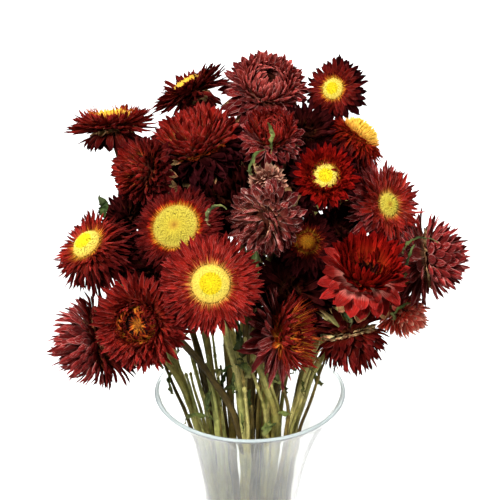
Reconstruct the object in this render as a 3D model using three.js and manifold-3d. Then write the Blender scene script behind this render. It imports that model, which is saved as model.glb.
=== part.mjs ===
// A bunch of dried strawflowers standing in a flared glass vase.
// Millimetres, +Z up. The origin is the centre of the vase's flat foot, and -Y is the front.
// Each bearing is counted in degrees from the front (-Y) towards +X, each lift is degrees above level.
import * as THREE from "three";
import { mergeVertices } from "three/addons/utils/BufferGeometryUtils.js";
import Module from "manifold-3d";

const wasm = await Module();
wasm.setup();

// ---- driving dimensions ----
const seatGap = 0.3; // between pieces that touch
const cutGap = 0.35; // kept round a stem where bracts lie against it
const vase = {
  height: 200,
  footRadius: 36,
  waistRadius: 25,
  waistHeight: 112,
  rimRadius: 51.5,
  lip: 1.4,
  wall: 2.6,
  floor: 12,
  sides: 24,
};
const bundle = { waistRadius: 17.6, footSpread: 1.3, mouthSpread: 1.45, mouthHeight: 188, twist: 18 };
const stem = { footRadius: 2.3, forkRadius: 1.95, neckRadius: 1.6, neck: 16, lead: 0.33, sides: 5 };
const cup = { radius: 3.6, height: 4 }; // the swelling of a stem that carries a head
const leaf = {
  slopes: [62, 34, 4, -30], // degrees above level of each quarter, from the stalk out
  halfWidths: [0.8, 2.4, 2.8, 2.0],
  keel: 1,
  sink: 0.8,
};
const bract = { belly: 0.6, keel: 1.1, fill: 0.88, jitter: 4, stray: 0.06, lengthSpread: 0.09, least: 0.3 };
const layerCount = { open: 10, smallOpen: 9, closed: 8, smallClosed: 7, smallSpread: 19 }; // of bracts
const core = {
  rimPastDisc: 1.2,
  closedSeat: { cup: 0.36, globe: 0.42, pompon: 0.48 }, // shares of the head's spread
  leastDepth: 3,
  depthShare: 0.22,
  crown: 0.8, // height over the seat of a closed core, as a share of its depth
  // Rings that the bracts stand between: shares of the seat's radius and of the depth below the seat.
  openRings: [[0.3, 1], [0.58, 0.66], [0.82, 0.32], [1, 0]],
  closedRings: [[0.42, 1], [0.72, 0.66], [1, 0.2], [0.86, -0.32], [0.42, -0.62]],
};
const floret = {
  sides: 12,
  sections: [[1, 0], [1, 0.35], [0.64, 0.92]], // shares of the disc's radius and height
  middle: 0.86,
  flat: 0.3,
  domed: 0.5,
  ripple: 0.3,
};
const packing = { margin: 0.5, cut: 0.2, near: 8, directions: 500 };

// Layers of bracts from the back of a head to its middle. root is the angle at the core, bend what the
// blade adds to it by its tip, in degrees, both forwards; reach is a share of the head's spread.
const forms = {
  open: [
    { root: -36, bend: -12, reach: 0.88 },
    { root: -8, bend: 2, reach: 1 },
    { root: 22, bend: 10, reach: 0.88 },
  ],
  bowl: [
    { root: -20, bend: -6, reach: 0.96 },
    { root: 14, bend: 14, reach: 1 },
    { root: 44, bend: 30, reach: 0.8 },
  ],
  cap: [
    { root: -70, bend: -4, reach: 0.9 },
    { root: -38, bend: -4, reach: 1 },
    { root: -4, bend: 10, reach: 0.88 },
  ],
  cup: [
    { root: -16, bend: -6, reach: 1 },
    { root: 16, bend: 12, reach: 1 },
    { root: 46, bend: 26, reach: 0.86 },
    { root: 66, bend: 34, reach: 0.5 },
  ],
  globe: [
    { root: -30, bend: 12, reach: 0.98 },
    { root: 6, bend: 36, reach: 1 },
    { root: 44, bend: 46, reach: 0.9 },
    { root: 66, bend: 56, reach: 0.5 },
  ],
  pompon: [
    { root: -60, bend: 46, reach: 0.94 },
    { root: -24, bend: 40, reach: 1 },
    { root: 14, bend: 36, reach: 1 },
    { root: 54, bend: 34, reach: 0.8 },
  ],
};

const orangeDiscs = ["lowerLeft", "lowCentre", "shadeRight"]; // the others are yellow

// Each head: where its seat is, the bearing and lift it faces, its spread to the bract tips, the radius
// of its disc of florets (0 where the bracts close over it), its form and its shade.
const heads = {
  frontFull: { at: [-19, -78, 307], faces: [0, 31], spread: 26, disc: 9.4, form: "open", shade: "red" },
  leftWide: { at: [-37, -37, 317], faces: [-22, 48], spread: 24, disc: 11.6, form: "open", shade: "dark" },
  leftSide: { at: [-83, -18, 297], faces: [-62, 52], spread: 24, disc: 8, form: "cap", shade: "dark" },
  lowerLeft: { at: [-55, -60, 275], faces: [-18, 16], spread: 25, disc: 8, form: "bowl", shade: "red" },
  lowFarLeft: { at: [-82, -22, 242], faces: [-84, -14], spread: 26, disc: 0, form: "pompon", shade: "dark" },
  lowCentre: { at: [19, -50, 262], faces: [74, 16], spread: 27, disc: 7, form: "bowl", shade: "red" },
  lowRight: { at: [52, -27, 248], faces: [30, -62], spread: 22, disc: 0, form: "pompon", shade: "dark" },
  rightSmall: { at: [81, -2, 248], faces: [72, -24], spread: 15, disc: 0, form: "pompon", shade: "faded" },
  rightGlobe: { at: [95, 4, 278], faces: [84, 8], spread: 25, disc: 0, form: "pompon", shade: "faded" },
  rightBright: { at: [58, -43, 294], faces: [16, 56], spread: 24, disc: 0, form: "cup", shade: "red" },
  rightWide: { at: [71, 0, 311], faces: [44, 30], spread: 22, disc: 6, form: "open", shade: "red" },
  centreRight: { at: [38, -14, 334], faces: [3, 38], spread: 18, disc: 6.2, form: "bowl", shade: "red" },
  topRight: { at: [44, 53, 353], faces: [-30, 32], spread: 17, disc: 5.6, form: "open", shade: "dark" },
  topCap: { at: [57, 33, 335], faces: [112, 48], spread: 19, disc: 9.6, form: "cap", shade: "dark" },
  topGlobe: { at: [9, 46, 357], faces: [18, 58], spread: 21, disc: 0, form: "globe", shade: "faded" },
  topLeft: { at: [-32, 50, 355], faces: [-112, 58], spread: 23, disc: 6, form: "open", shade: "dark" },
  farLeft: { at: [-71, 23, 348], faces: [-168, 70], spread: 25, disc: 8.4, form: "bowl", shade: "dark" },
  upperLeftBig: { at: [-28, 13, 341], faces: [-84, 74], spread: 27, disc: 0, form: "cup", shade: "dark" },
  upperLeftLow: { at: [-55, -11, 336], faces: [-54, 28], spread: 18, disc: 0, form: "cup", shade: "dark" },
  upperCentre: { at: [11, 8, 347], faces: [10, 62], spread: 18, disc: 0, form: "globe", shade: "faded" },
  smallPale: { at: [9, -13, 328], faces: [6, -8], spread: 11, disc: 0, form: "globe", shade: "faded" },
  paleCentre: { at: [6, -44, 324], faces: [-30, 4], spread: 19, disc: 0, form: "pompon", shade: "faded" },
  shadeRight: { at: [29, -23, 301], faces: [12, 42], spread: 18, disc: 5, form: "open", shade: "dark" },
  behindRight: { at: [29, 29, 339], faces: [20, 58], spread: 15, disc: 0, form: "cup", shade: "dark" },
  behindLeft: { at: [-65, 9, 299], faces: [-70, 62], spread: 16, disc: 0, form: "cup", shade: "dark" },
  shadeLeft: { at: [-12, 0, 317], faces: [-8, 50], spread: 17, disc: 0, form: "globe", shade: "dark" },
  shadeMid: { at: [48, 4, 297], faces: [34, 48], spread: 15, disc: 0, form: "globe", shade: "dark" },
  backLeft: { at: [-54, 58, 290], faces: [-130, 25], spread: 21, disc: 0, form: "cup", shade: "red" },
  innerLeft: { at: [-51, -20, 288], faces: [-40, 34], spread: 17, disc: 0, form: "globe", shade: "dark" },
  innerRight: { at: [22, -17, 269], faces: [2, 28], spread: 22, disc: 0, form: "cup", shade: "dark" },
  backMid: { at: [-5, 84, 300], faces: [178, 35], spread: 25, disc: 0, form: "cup", shade: "red" },
  backRight: { at: [58, 66, 283], faces: [140, 25], spread: 23, disc: 0, form: "globe", shade: "red" },
  shadeCentre: { at: [22, 8, 317], faces: [14, 40], spread: 18, disc: 0, form: "cup", shade: "dark" },
};

// Each stem stands in the vase at a bearing and a share of the bundle's radius, ends in its first head,
// and forks towards the others at the heights given. A leaf has its stalk, the share along it, the
// bearing it leaves on and its length.
const stems = {
  stemFront: {
    slot: [-12, 1],
    heads: ["frontFull", "lowerLeft"],
    forks: [176],
    leaves: [{ stalk: 0, share: 0.5, bearing: 25, length: 20 }],
  },
  stemLeft: {
    slot: [-46, 1],
    heads: ["leftWide", "upperLeftLow"],
    forks: [200],
    leaves: [{ stalk: 0, share: 0.4, bearing: -80, length: 22 }],
  },
  stemFarLeft: {
    slot: [-84, 1],
    mouthSpread: 1.75,
    heads: ["leftSide", "lowFarLeft", "innerLeft"],
    forks: [186, 214],
    leaves: [{ stalk: 1, share: 0.4, bearing: 0, length: 24 }],
  },
  stemBackLeft: {
    slot: [-122, 1],
    heads: ["farLeft", "behindLeft"],
    forks: [214],
    leaves: [{ stalk: 0, share: 0.5, bearing: -60, length: 22 }],
  },
  stemLow: {
    slot: [28, 1],
    heads: ["lowCentre"],
    forks: [],
    leaves: [{ stalk: 0, share: 0.4, bearing: -20, length: 22 }],
  },
  stemRight: {
    slot: [58, 1],
    heads: ["lowRight", "rightSmall", "shadeMid"],
    forks: [182, 204],
    leaves: [{ stalk: 1, share: 0.5, bearing: 20, length: 20 }],
  },
  stemFarRight: {
    slot: [95, 1],
    heads: ["rightWide", "rightGlobe"],
    forks: [192],
    leaves: [{ stalk: 1, share: 0.6, bearing: 40, length: 20 }],
  },
  stemBackRight: {
    slot: [140, 1],
    heads: ["backRight"],
    forks: [],
    leaves: [{ stalk: 0, share: 0.5, bearing: 90, length: 22 }],
  },
  stemRear: {
    slot: [186, 1],
    heads: ["backLeft"],
    forks: [],
    leaves: [{ stalk: 0, share: 0.5, bearing: 180, length: 22 }],
  },
  stemBright: {
    slot: [60, 0.42],
    heads: ["centreRight", "rightBright", "innerRight", "shadeRight"],
    forks: [186, 236, 262],
  },
  stemTall: { slot: [126, 0.42], heads: ["topRight", "topCap", "behindRight"], forks: [236, 212] },
  stemTop: { slot: [190, 0.42], heads: ["topGlobe", "backMid", "shadeCentre"], forks: [204, 226] },
  stemTopLeft: { slot: [-104, 0.42], heads: ["topLeft", "upperLeftBig"], forks: [232] },
  stemMiddle: {
    slot: [0, 0],
    heads: ["upperCentre", "shadeLeft", "smallPale", "paleCentre"],
    forks: [240, 262, 216],
  },
};

const looks = {
  glass: { color: 0xdfe9e8, roughness: 0.05, metalness: 0 },
  stem: { color: 0x77703f, roughness: 0.85, metalness: 0 },
  red: { color: 0x7e1013, roughness: 0.55, metalness: 0 },
  dark: { color: 0x4f0a10, roughness: 0.55, metalness: 0 },
  faded: { color: 0x7a3038, roughness: 0.6, metalness: 0 },
  yellow: { color: 0xe3c21d, roughness: 0.8, metalness: 0 },
  orange: { color: 0xa8501a, roughness: 0.8, metalness: 0 },
};

// ---- small helpers ----
const { degToRad: radians, lerp } = THREE.MathUtils;
const forward = new THREE.Vector3(0, 0, 1);

function directionOf(bearing, lift) {
  const level = Math.cos(radians(lift));
  const turn = radians(bearing);
  return new THREE.Vector3(Math.sin(turn) * level, -Math.cos(turn) * level, Math.sin(radians(lift)));
}

// A point at a turn round the Z axis, in radians.
function around(turn, radius, height) {
  return new THREE.Vector3(Math.cos(turn) * radius, Math.sin(turn) * radius, height);
}

// A repeatable draw from -1 to 1.
function seededDraw(seed) {
  let state = seed * 2654435761;
  return () => {
    state = (state * 1664525 + 1013904223) % 4294967296;
    return (state / 4294967296) * 2 - 1;
  };
}

// ---- solids ----
function solidOf(vertProperties, triVerts) {
  return new wasm.Manifold(new wasm.Mesh({ numProp: 3, vertProperties, triVerts }));
}

function solidFrom(corners, triangles) {
  return solidOf(new Float32Array(corners.flatMap((p) => p.toArray())), new Uint32Array(triangles));
}

function solidOfGeometry(geometry) {
  const bare = geometry.clone();
  bare.deleteAttribute("normal");
  bare.deleteAttribute("uv");
  const merged = mergeVertices(bare, 1e-3);
  return solidOf(merged.attributes.position.array, merged.index.array);
}

// A closed solid through sections of equally many points. Its last end is flat, or rises to an apex.
function loft(sections, apex) {
  const sides = sections[0].length;
  const corners = sections.flat();
  const last = corners.length - sides;
  const triangles = [];
  for (let k = 0; k < sides; k++) {
    const next = (k + 1) % sides;
    for (let low = 0; low < last; low += sides) {
      const high = low + sides;
      triangles.push(low + k, low + next, high + k, low + next, high + next, high + k);
    }
    if (apex) triangles.push(last + k, last + next, corners.length);
  }
  for (let k = 1; k < sides - 1; k++) {
    triangles.push(0, k + 1, k);
    if (!apex) triangles.push(last, last + k, last + k + 1);
  }
  return solidFrom(apex ? [...corners, apex] : corners, triangles);
}

// The largest body of a solid alone, which drops loose scraps and fills sealed hollows.
function largestBody(solid) {
  return solid.decompose().reduce((best, body) => (body.volume() > best.volume() ? body : best));
}

function geometryOf(solid) {
  const { vertProperties, triVerts } = solid.getMesh();
  const geometry = new THREE.BufferGeometry();
  geometry.setAttribute("position", new THREE.BufferAttribute(new Float32Array(vertProperties), 3));
  geometry.setIndex(new THREE.BufferAttribute(new Uint32Array(triVerts), 1));
  geometry.computeVertexNormals();
  return geometry;
}

// ---- the vase ----
function vaseSolid() {
  const { height, footRadius, waistRadius, waistHeight, rimRadius, lip, wall, floor } = vase;
  const flank = [
    [footRadius - 3, 30],
    [waistRadius + 3, 70],
    [waistRadius, waistHeight],
    [waistRadius + 3.4, 145],
    [waistRadius + 11, 172],
    [rimRadius - 4.5, height - 7],
  ];
  const foot = [[0, 0], [footRadius - lip, 0], [footRadius, 3]];
  const rim = [[rimRadius, height - lip], [rimRadius - lip, height], [rimRadius - wall - 0.6, height - 1.2]];
  const inside = flank.map(([radius, up]) => [radius - wall, up]).reverse();
  const profile = [...foot, ...flank, ...rim, ...inside, [footRadius - wall - 5, floor], [0, floor]];
  const points = profile.map(([radius, up]) => new THREE.Vector2(radius, up));
  return solidOfGeometry(new THREE.LatheGeometry(points, vase.sides).rotateX(Math.PI / 2));
}

// ---- stems ----
const axisOf = (head) => directionOf(...head.faces);
const coreDepthOf = (head) => core.leastDepth + head.spread * core.depthShare;

function headBaseOf(head) {
  return new THREE.Vector3(...head.at).addScaledVector(axisOf(head), -coreDepthOf(head) - seatGap);
}

// Points from the vase's floor up to its mouth, at this stem's place in the bundle.
function lowerPoints({ slot: [bearing, share], mouthSpread = bundle.mouthSpread }) {
  const place = (spread, turn, height) => {
    const radius = bundle.waistRadius * share * spread;
    return directionOf(bearing + turn * bundle.twist, 0).multiplyScalar(radius).setZ(height);
  };
  const midway = (vase.floor + vase.waistHeight) / 2;
  const curve = new THREE.CatmullRomCurve3([
    place(bundle.footSpread, -0.8, vase.floor + seatGap),
    place((1 + bundle.footSpread) / 2, -0.4, midway),
    place(1, 0, vase.waistHeight),
    place(mouthSpread, 0.2, bundle.mouthHeight),
  ]);
  return curve.getPoints(4);
}

// Points from start, leaving along tangent, to the back of a head, arriving square to it.
function upperPoints(start, tangent, head, steps) {
  const base = headBaseOf(head);
  const cupStart = base.clone().addScaledVector(axisOf(head), -cup.height);
  const far = start.distanceTo(cupStart);
  const lead = start.clone().addScaledVector(tangent, far * stem.lead);
  const behind = cupStart.clone().addScaledVector(axisOf(head), -Math.min(stem.neck, far * 0.35));
  return [...new THREE.CubicBezierCurve3(start, lead, behind, cupStart).getPoints(steps), base];
}

function placeAtHeight(points, height) {
  const i = points.findIndex((point) => point.z >= height);
  const share = (height - points[i - 1].z) / (points[i].z - points[i - 1].z);
  return {
    point: points[i - 1].clone().lerp(points[i], share),
    tangent: points[i].clone().sub(points[i - 1]).normalize(),
  };
}

// The centrelines of one stem: its main line first, then a line for each fork.
function stemLines(entry) {
  const [first, ...others] = entry.heads.map((name) => heads[name]);
  const lower = lowerPoints(entry);
  const mouth = lower.at(-1);
  const rise = mouth.clone().sub(lower.at(-2)).normalize();
  const main = [...lower, ...upperPoints(mouth, rise, first, 6).slice(1)];
  const forks = others.map((head, i) => {
    const { point, tangent } = placeAtHeight(main, entry.forks[i]);
    return upperPoints(point, tangent, head, 4);
  });
  return [main, ...forks];
}

// A closed tube along points, with a radius at each one.
function tubeAlong(points, radii) {
  let across = new THREE.Vector3(1, 0.2, 0);
  const sections = points.map((point, i) => {
    const before = points[Math.max(i - 1, 0)];
    const after = points[Math.min(i + 1, points.length - 1)];
    const tangent = after.clone().sub(before).normalize();
    across = across.clone().addScaledVector(tangent, -across.dot(tangent)).normalize();
    const other = tangent.clone().cross(across);
    return Array.from({ length: stem.sides }, (_, k) => {
      const flat = around((2 * Math.PI * k) / stem.sides, radii[i], 0);
      return point.clone().addScaledVector(across, flat.x).addScaledVector(other, flat.y);
    });
  });
  return loft(sections);
}

// A stalk that thins towards its head and swells to the cup under it.
function stalkSolid(line, thick, grow) {
  const last = line.length - 1;
  const radii = line.map((_, i) => lerp(thick, stem.neckRadius, i / (last - 1)) + grow);
  radii[last] = cup.radius + grow;
  return tubeAlong(line, radii);
}

// Triangles of a keeled strip through sections of left, right and keel corners, ending in a point.
function keeledFaces(sections) {
  const triangles = [0, 1, 2];
  const tip = sections * 3;
  for (let k = 0; k < 3; k++) {
    const next = (k + 1) % 3;
    for (let low = 0; low < tip - 3; low += 3) {
      triangles.push(low + k, low + 3 + k, low + next, low + next, low + 3 + k, low + 3 + next);
    }
    triangles.push(tip - 3 + k, tip, tip - 3 + next);
  }
  return triangles;
}

// A curled leaf: a keeled strip that leaves its stalk sideways and rolls down.
function leafSolid(line, { share, bearing, length }, grow) {
  const out = directionOf(bearing, 0);
  const side = out.clone().cross(forward);
  const along = (slope) => out.clone().multiplyScalar(Math.cos(slope)).setZ(Math.sin(slope));
  const spine = line[Math.round(share * (line.length - 1))].clone().addScaledVector(out, -leaf.sink);
  const corners = leaf.slopes.flatMap((degrees, i) => {
    const slope = radians(degrees);
    const under = along(slope - Math.PI / 2);
    const half = leaf.halfWidths[i] + grow;
    const section = [
      spine.clone().addScaledVector(side, half).addScaledVector(under, -grow),
      spine.clone().addScaledVector(side, -half).addScaledVector(under, -grow),
      spine.clone().addScaledVector(under, leaf.keel + grow),
    ];
    spine.addScaledVector(along(slope), length / leaf.slopes.length + grow);
    return section;
  });
  return solidFrom([...corners, spine], keeledFaces(leaf.slopes.length));
}

// A whole stem with its forks and leaves, grown all round by grow.
function stemSolid(entry, grow = 0) {
  const lines = stemLines(entry);
  const stalks = lines.map((line, i) => stalkSolid(line, i ? stem.forkRadius : stem.footRadius, grow));
  const leaves = (entry.leaves ?? []).map((one) => leafSolid(lines[one.stalk], one, grow));
  return wasm.Manifold.union([...stalks, ...leaves]);
}

// ---- room for the heads ----
// Half the thickness of the room that a head is given, as a share of its spread.
const roomDepth = { open: 0.42, bowl: 0.52, cup: 0.52, globe: 0.6, cap: 0.6, pompon: 0.72 };

function reachAlong(head, direction) {
  const along = direction.dot(axisOf(head));
  const depth = roomDepth[head.form];
  return head.spread * Math.sqrt(1 - along ** 2 + (along * depth) ** 2);
}

// Directions spread evenly over a sphere.
const compass = Array.from({ length: packing.directions }, (_, i) => {
  const height = 1 - (2 * i + 1) / packing.directions;
  return around(i * Math.PI * (3 - Math.sqrt(5)), Math.sqrt(1 - height ** 2), height);
});

// The plane midway between two heads' rooms, where they lie furthest apart, if the heads are near.
function planeBetween(first, second) {
  const from = new THREE.Vector3(...first.at);
  const step = new THREE.Vector3(...second.at).sub(from);
  if (step.length() > first.spread + second.spread + packing.near) return null;
  const spare = (normal) => normal.dot(step) - reachAlong(first, normal) - reachAlong(second, normal);
  const normal = compass.reduce((best, one) => (spare(one) > spare(best) ? one : best));
  return new THREE.Plane(normal, -normal.dot(from) - reachAlong(first, normal) - spare(normal) / 2);
}

function headTurn(head) {
  const turn = new THREE.Quaternion().setFromUnitVectors(forward, axisOf(head));
  return new THREE.Matrix4().compose(new THREE.Vector3(...head.at), turn, new THREE.Vector3(1, 1, 1));
}

// The planes that part a head from its neighbours, in its own frame, with its own side below them.
function planesRound(name) {
  const toHead = headTurn(heads[name]).invert();
  const names = Object.keys(heads);
  return names
    .filter((other) => other !== name)
    .map((other) => {
      const swapped = names.indexOf(other) < names.indexOf(name);
      const pair = swapped ? [heads[other], heads[name]] : [heads[name], heads[other]];
      const plane = planeBetween(...pair);
      return swapped ? plane?.negate() : plane;
    })
    .filter(Boolean)
    .map((plane) => plane.applyMatrix4(toHead));
}

// How much of a bract's reach from its seat the planes leave.
function roomFor(seat, corners, planes) {
  let share = 1;
  for (const plane of planes) {
    const room = -plane.distanceToPoint(seat) - packing.margin;
    for (const corner of corners) {
      const reach = plane.normal.dot(corner.clone().sub(seat));
      if (reach > room) share = Math.min(share, Math.max(room / reach, bract.least));
    }
  }
  return share;
}

// What lies below a plane, and a little clear of it.
function trimmedBelow(solid, { normal, constant }) {
  return solid.trimByPlane([-normal.x, -normal.y, -normal.z], constant + packing.cut);
}

// ---- heads ----
function countOf({ disc, spread }) {
  const large = spread > layerCount.smallSpread;
  if (disc) return large ? layerCount.open : layerCount.smallOpen;
  return large ? layerCount.closed : layerCount.smallClosed;
}

// The rings of a core, back to front, each turned half a step from the one before it.
function coreRings(head) {
  const count = countOf(head);
  const depth = coreDepthOf(head);
  const seat = head.disc ? head.disc + core.rimPastDisc : head.spread * core.closedSeat[head.form];
  const step = (2 * Math.PI) / count;
  return (head.disc ? core.openRings : core.closedRings).map(([share, down], ring) =>
    Array.from({ length: count }, (_, i) => around((i + ring / 2) * step, seat * share, -depth * down)),
  );
}

// The corners of one bract: left, right and keel at its belly, then its tip.
function bractCorners({ seat, turn, root, bend, length, width }, planes) {
  const reach = (angle, far) => around(turn, Math.cos(angle) * far, Math.sin(angle) * far);
  const side = around(turn + Math.PI / 2, width / 2, 0);
  const belly = seat.clone().add(reach(root, length * bract.belly));
  const corners = [
    belly.clone().sub(side),
    belly.clone().add(side),
    belly.clone().add(reach(root + (bend - Math.PI) / 2, bract.keel)),
    belly.clone().add(reach(root + bend, length * (1 - bract.belly))),
  ];
  const share = roomFor(seat, corners, planes);
  return corners.map((corner) => corner.lerp(seat, 1 - share));
}

// One bract of a layer, on the core's root triangle of left, right and keel corners.
function bractOn(base, layer, head, planes, draw) {
  const seat = base[0].clone().add(base[1]).divideScalar(2);
  const level = Math.cos(radians(layer.root));
  const rootRadius = Math.hypot(seat.x, seat.y);
  const length = (head.spread * layer.reach - rootRadius * level) * (1 + draw() * bract.lengthSpread);
  const spacing = (2 * Math.PI) / countOf(head);
  const shape = {
    seat,
    turn: Math.atan2(seat.y, seat.x) + draw() * bract.stray * spacing,
    root: radians(layer.root + draw() * bract.jitter),
    bend: radians(layer.bend + 2 * draw() * bract.jitter),
    length,
    width: (rootRadius + length * bract.belly * level) * spacing * bract.fill,
  };
  return bractCorners(shape, planes);
}

// One head in its own frame, facing +Z: a core of staggered rings with a bract in every second gap.
function headSolid(name, seed) {
  const head = heads[name];
  const planes = planesRound(name);
  const draw = seededDraw(seed);
  const count = countOf(head);
  const corners = coreRings(head).flat();
  const triangles = [];
  forms[head.form].forEach((layer, row) => {
    for (let i = 0; i < count; i++) {
      const low = row * count;
      const high = low + count;
      const next = (i + 1) % count;
      const roots = [high + i, high + next, low + next];
      const first = corners.push(...bractOn(roots.map((k) => corners[k]), layer, head, planes, draw)) - 4;
      for (let k = 0; k < 3; k++) {
        const along = (k + 1) % 3;
        triangles.push(roots[k], first + k, first + along, roots[k], first + along, roots[along]);
        triangles.push(first + k, first + 3, first + along);
      }
      triangles.push(low + i, low + next, high + i);
    }
  });
  const top = forms[head.form].length * count;
  const crown = corners.push(around(0, 0, head.disc ? 0 : coreDepthOf(head) * core.crown)) - 1;
  for (let i = 0; i < count; i++) triangles.push(top + i, top + ((i + 1) % count), crown);
  for (let i = 1; i < count - 1; i++) triangles.push(0, i + 1, i);
  return planes.reduce(trimmedBelow, solidFrom(corners, triangles));
}

// The cushion of florets in its head's own frame: a low dome whose facets rise and dip in turn.
function discSolid(head) {
  const height = head.disc * (head.form === "cap" ? floret.domed : floret.flat);
  const step = (2 * Math.PI) / floret.sides;
  const sections = floret.sections.map(([share, rise], row) =>
    Array.from({ length: floret.sides }, (_, k) => {
      const ripple = rise > 0.5 ? floret.ripple * (-1) ** k : 0;
      return around((k + row / 2) * step, head.disc * share, seatGap + height * rise + ripple);
    }),
  );
  return loft(sections, new THREE.Vector3(0, 0, seatGap + height * floret.middle));
}

// ---- assembly ----
const group = new THREE.Group();

// Adds a solid, given in the frame that placement sets, as a mesh standing there.
function addPiece(name, solid, look, placement = new THREE.Matrix4()) {
  const mesh = new THREE.Mesh(geometryOf(solid), new THREE.MeshStandardMaterial(looks[look]));
  mesh.name = name;
  placement.decompose(mesh.position, mesh.quaternion, mesh.scale);
  group.add(mesh);
}

addPiece("vase", vaseSolid(), "glass");

const stemRooms = Object.values(stems).map((entry) => stemSolid(entry, cutGap));
Object.entries(stems).forEach(([name, entry], i) => {
  const clear = stemRooms.slice(0, i).reduce((solid, room) => solid.subtract(room), stemSolid(entry));
  addPiece(name, largestBody(clear), "stem");
});

Object.entries(heads).forEach(([name, head], i) => {
  const placement = headTurn(head);
  const toHead = placement.clone().invert().elements;
  const whole = headSolid(name, i + 1);
  const clear = stemRooms.reduce((solid, room) => solid.subtract(room.transform(toHead)), whole);
  const title = name[0].toUpperCase() + name.slice(1);
  addPiece(`bloom${title}`, largestBody(clear), head.shade, placement);
  const discLook = orangeDiscs.includes(name) ? "orange" : "yellow";
  if (head.disc) addPiece(`disc${title}`, discSolid(head), discLook, placement);
});

export default group;
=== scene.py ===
import math
import random
import bmesh
import bpy
import numpy as np
from mathutils import Matrix, Vector
from types import SimpleNamespace


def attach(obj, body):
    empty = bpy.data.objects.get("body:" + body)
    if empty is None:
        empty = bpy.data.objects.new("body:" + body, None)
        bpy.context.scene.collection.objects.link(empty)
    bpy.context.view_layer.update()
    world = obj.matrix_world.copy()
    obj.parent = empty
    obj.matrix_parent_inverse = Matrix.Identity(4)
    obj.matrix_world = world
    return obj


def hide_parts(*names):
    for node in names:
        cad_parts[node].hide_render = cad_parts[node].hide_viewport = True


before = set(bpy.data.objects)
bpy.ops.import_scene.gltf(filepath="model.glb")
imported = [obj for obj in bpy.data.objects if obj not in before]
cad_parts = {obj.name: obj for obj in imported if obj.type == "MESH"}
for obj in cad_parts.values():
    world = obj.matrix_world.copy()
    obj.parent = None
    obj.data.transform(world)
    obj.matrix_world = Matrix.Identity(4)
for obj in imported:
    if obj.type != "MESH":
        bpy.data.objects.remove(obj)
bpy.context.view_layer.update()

mm = 0.001
body = "root"
goldenTurn = math.pi * (3 - math.sqrt(5))
midNoise = (0.3, 0.7)  # where most of a noise's values lie


# What flows out of a node. Arithmetic on it adds the nodes that do the sum.
class Wire:
    def __init__(self, socket):
        self.socket = socket
        self.tree = socket.id_data

    def math(self, operation, *others):
        return sumOf(self.tree, operation, self, *others)

    def __add__(self, other):
        return self.math("ADD", other)

    def __mul__(self, other):
        return self.math("MULTIPLY", other)

    def __sub__(self, other):
        return self.math("SUBTRACT", other)

    def __rsub__(self, other):
        return sumOf(self.tree, "SUBTRACT", other, self)

    def __truediv__(self, other):
        return self.math("DIVIDE", other)

    def __pow__(self, other):
        return self.math("POWER", other)

    __radd__ = __add__
    __rmul__ = __mul__


def feed(tree, socket, value):
    if isinstance(value, Wire):
        tree.links.new(value.socket, socket)
    elif value is not None:
        socket.default_value = value


# A node with its inputs, by name or place, given as values or as wires.
def addNode(tree, kind, inputs=None, **settings):
    node = tree.nodes.new(kind)
    for key, value in settings.items():
        setattr(node, key, value)
    for key, value in (inputs or {}).items():
        feed(tree, node.inputs[key], value)
    return node


def outOf(tree, kind, inputs=None, output=0, **settings):
    return Wire(addNode(tree, kind, inputs, **settings).outputs[output])


def sumOf(tree, operation, *values):
    return outOf(tree, "ShaderNodeMath", dict(enumerate(values)), operation=operation)


def sine(value):
    return value.math("SINE")


def cosine(value):
    return value.math("COSINE")


def size(value):
    return value.math("ABSOLUTE")


def vectorOf(tree, x, y, z):
    return outOf(tree, "ShaderNodeCombineXYZ", {0: x, 1: y, 2: z})


def partsOf(vector):
    node = addNode(vector.tree, "ShaderNodeSeparateXYZ", {0: vector})
    return [Wire(socket) for socket in node.outputs]


def scaled(vector, scale, shift=(0, 0, 0)):
    moved = outOf(vector.tree, "ShaderNodeVectorMath", {0: vector, 1: shift}, operation="SUBTRACT")
    return outOf(vector.tree, "ShaderNodeVectorMath", {0: moved, "Scale": scale}, operation="SCALE")


# Sends geometry through a node.
def through(geometry, kind, inputs=None, **settings):
    return outOf(geometry.tree, "GeometryNode" + kind, {0: geometry, **(inputs or {})}, **settings)


def captured(geometry, value, domain="POINT", kind="FLOAT"):
    node = addNode(geometry.tree, "GeometryNodeCaptureAttribute", domain=domain)
    node.capture_items.new(kind, "Value")
    feed(geometry.tree, node.inputs[0], geometry)
    feed(geometry.tree, node.inputs[1], value)
    return Wire(node.outputs[0]), Wire(node.outputs[1])


def stored(geometry, values):
    for name, value in values.items():
        inputs = {"Name": name, "Value": value}
        geometry = through(geometry, "StoreNamedAttribute", inputs, data_type="FLOAT", domain="POINT")
    return geometry


def joined(*parts):
    node = addNode(parts[0].tree, "GeometryNodeJoinGeometry")
    for part in parts:
        parts[0].tree.links.new(part.socket, node.inputs[0])
    return Wire(node.outputs[0])


def positionIn(tree):
    return outOf(tree, "GeometryNodeInputPosition")


def noiseAt(vector, scale, detail=2, roughness=0.5, output="Fac"):
    inputs = {"Vector": vector, "Scale": scale, "Detail": detail, "Roughness": roughness}
    return outOf(vector.tree, "ShaderNodeTexNoise", inputs, output)


# Random numbers of a numbered element, each from a seed of its own.
def drawsOf(mark, seed):
    def drawn(offset, low=-1.0, high=1.0):
        inputs = {2: low, 3: high, 7: mark, 8: seed + offset}
        return outOf(mark.tree, "FunctionNodeRandomValue", inputs, 1, data_type="FLOAT")
    return drawn


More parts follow.
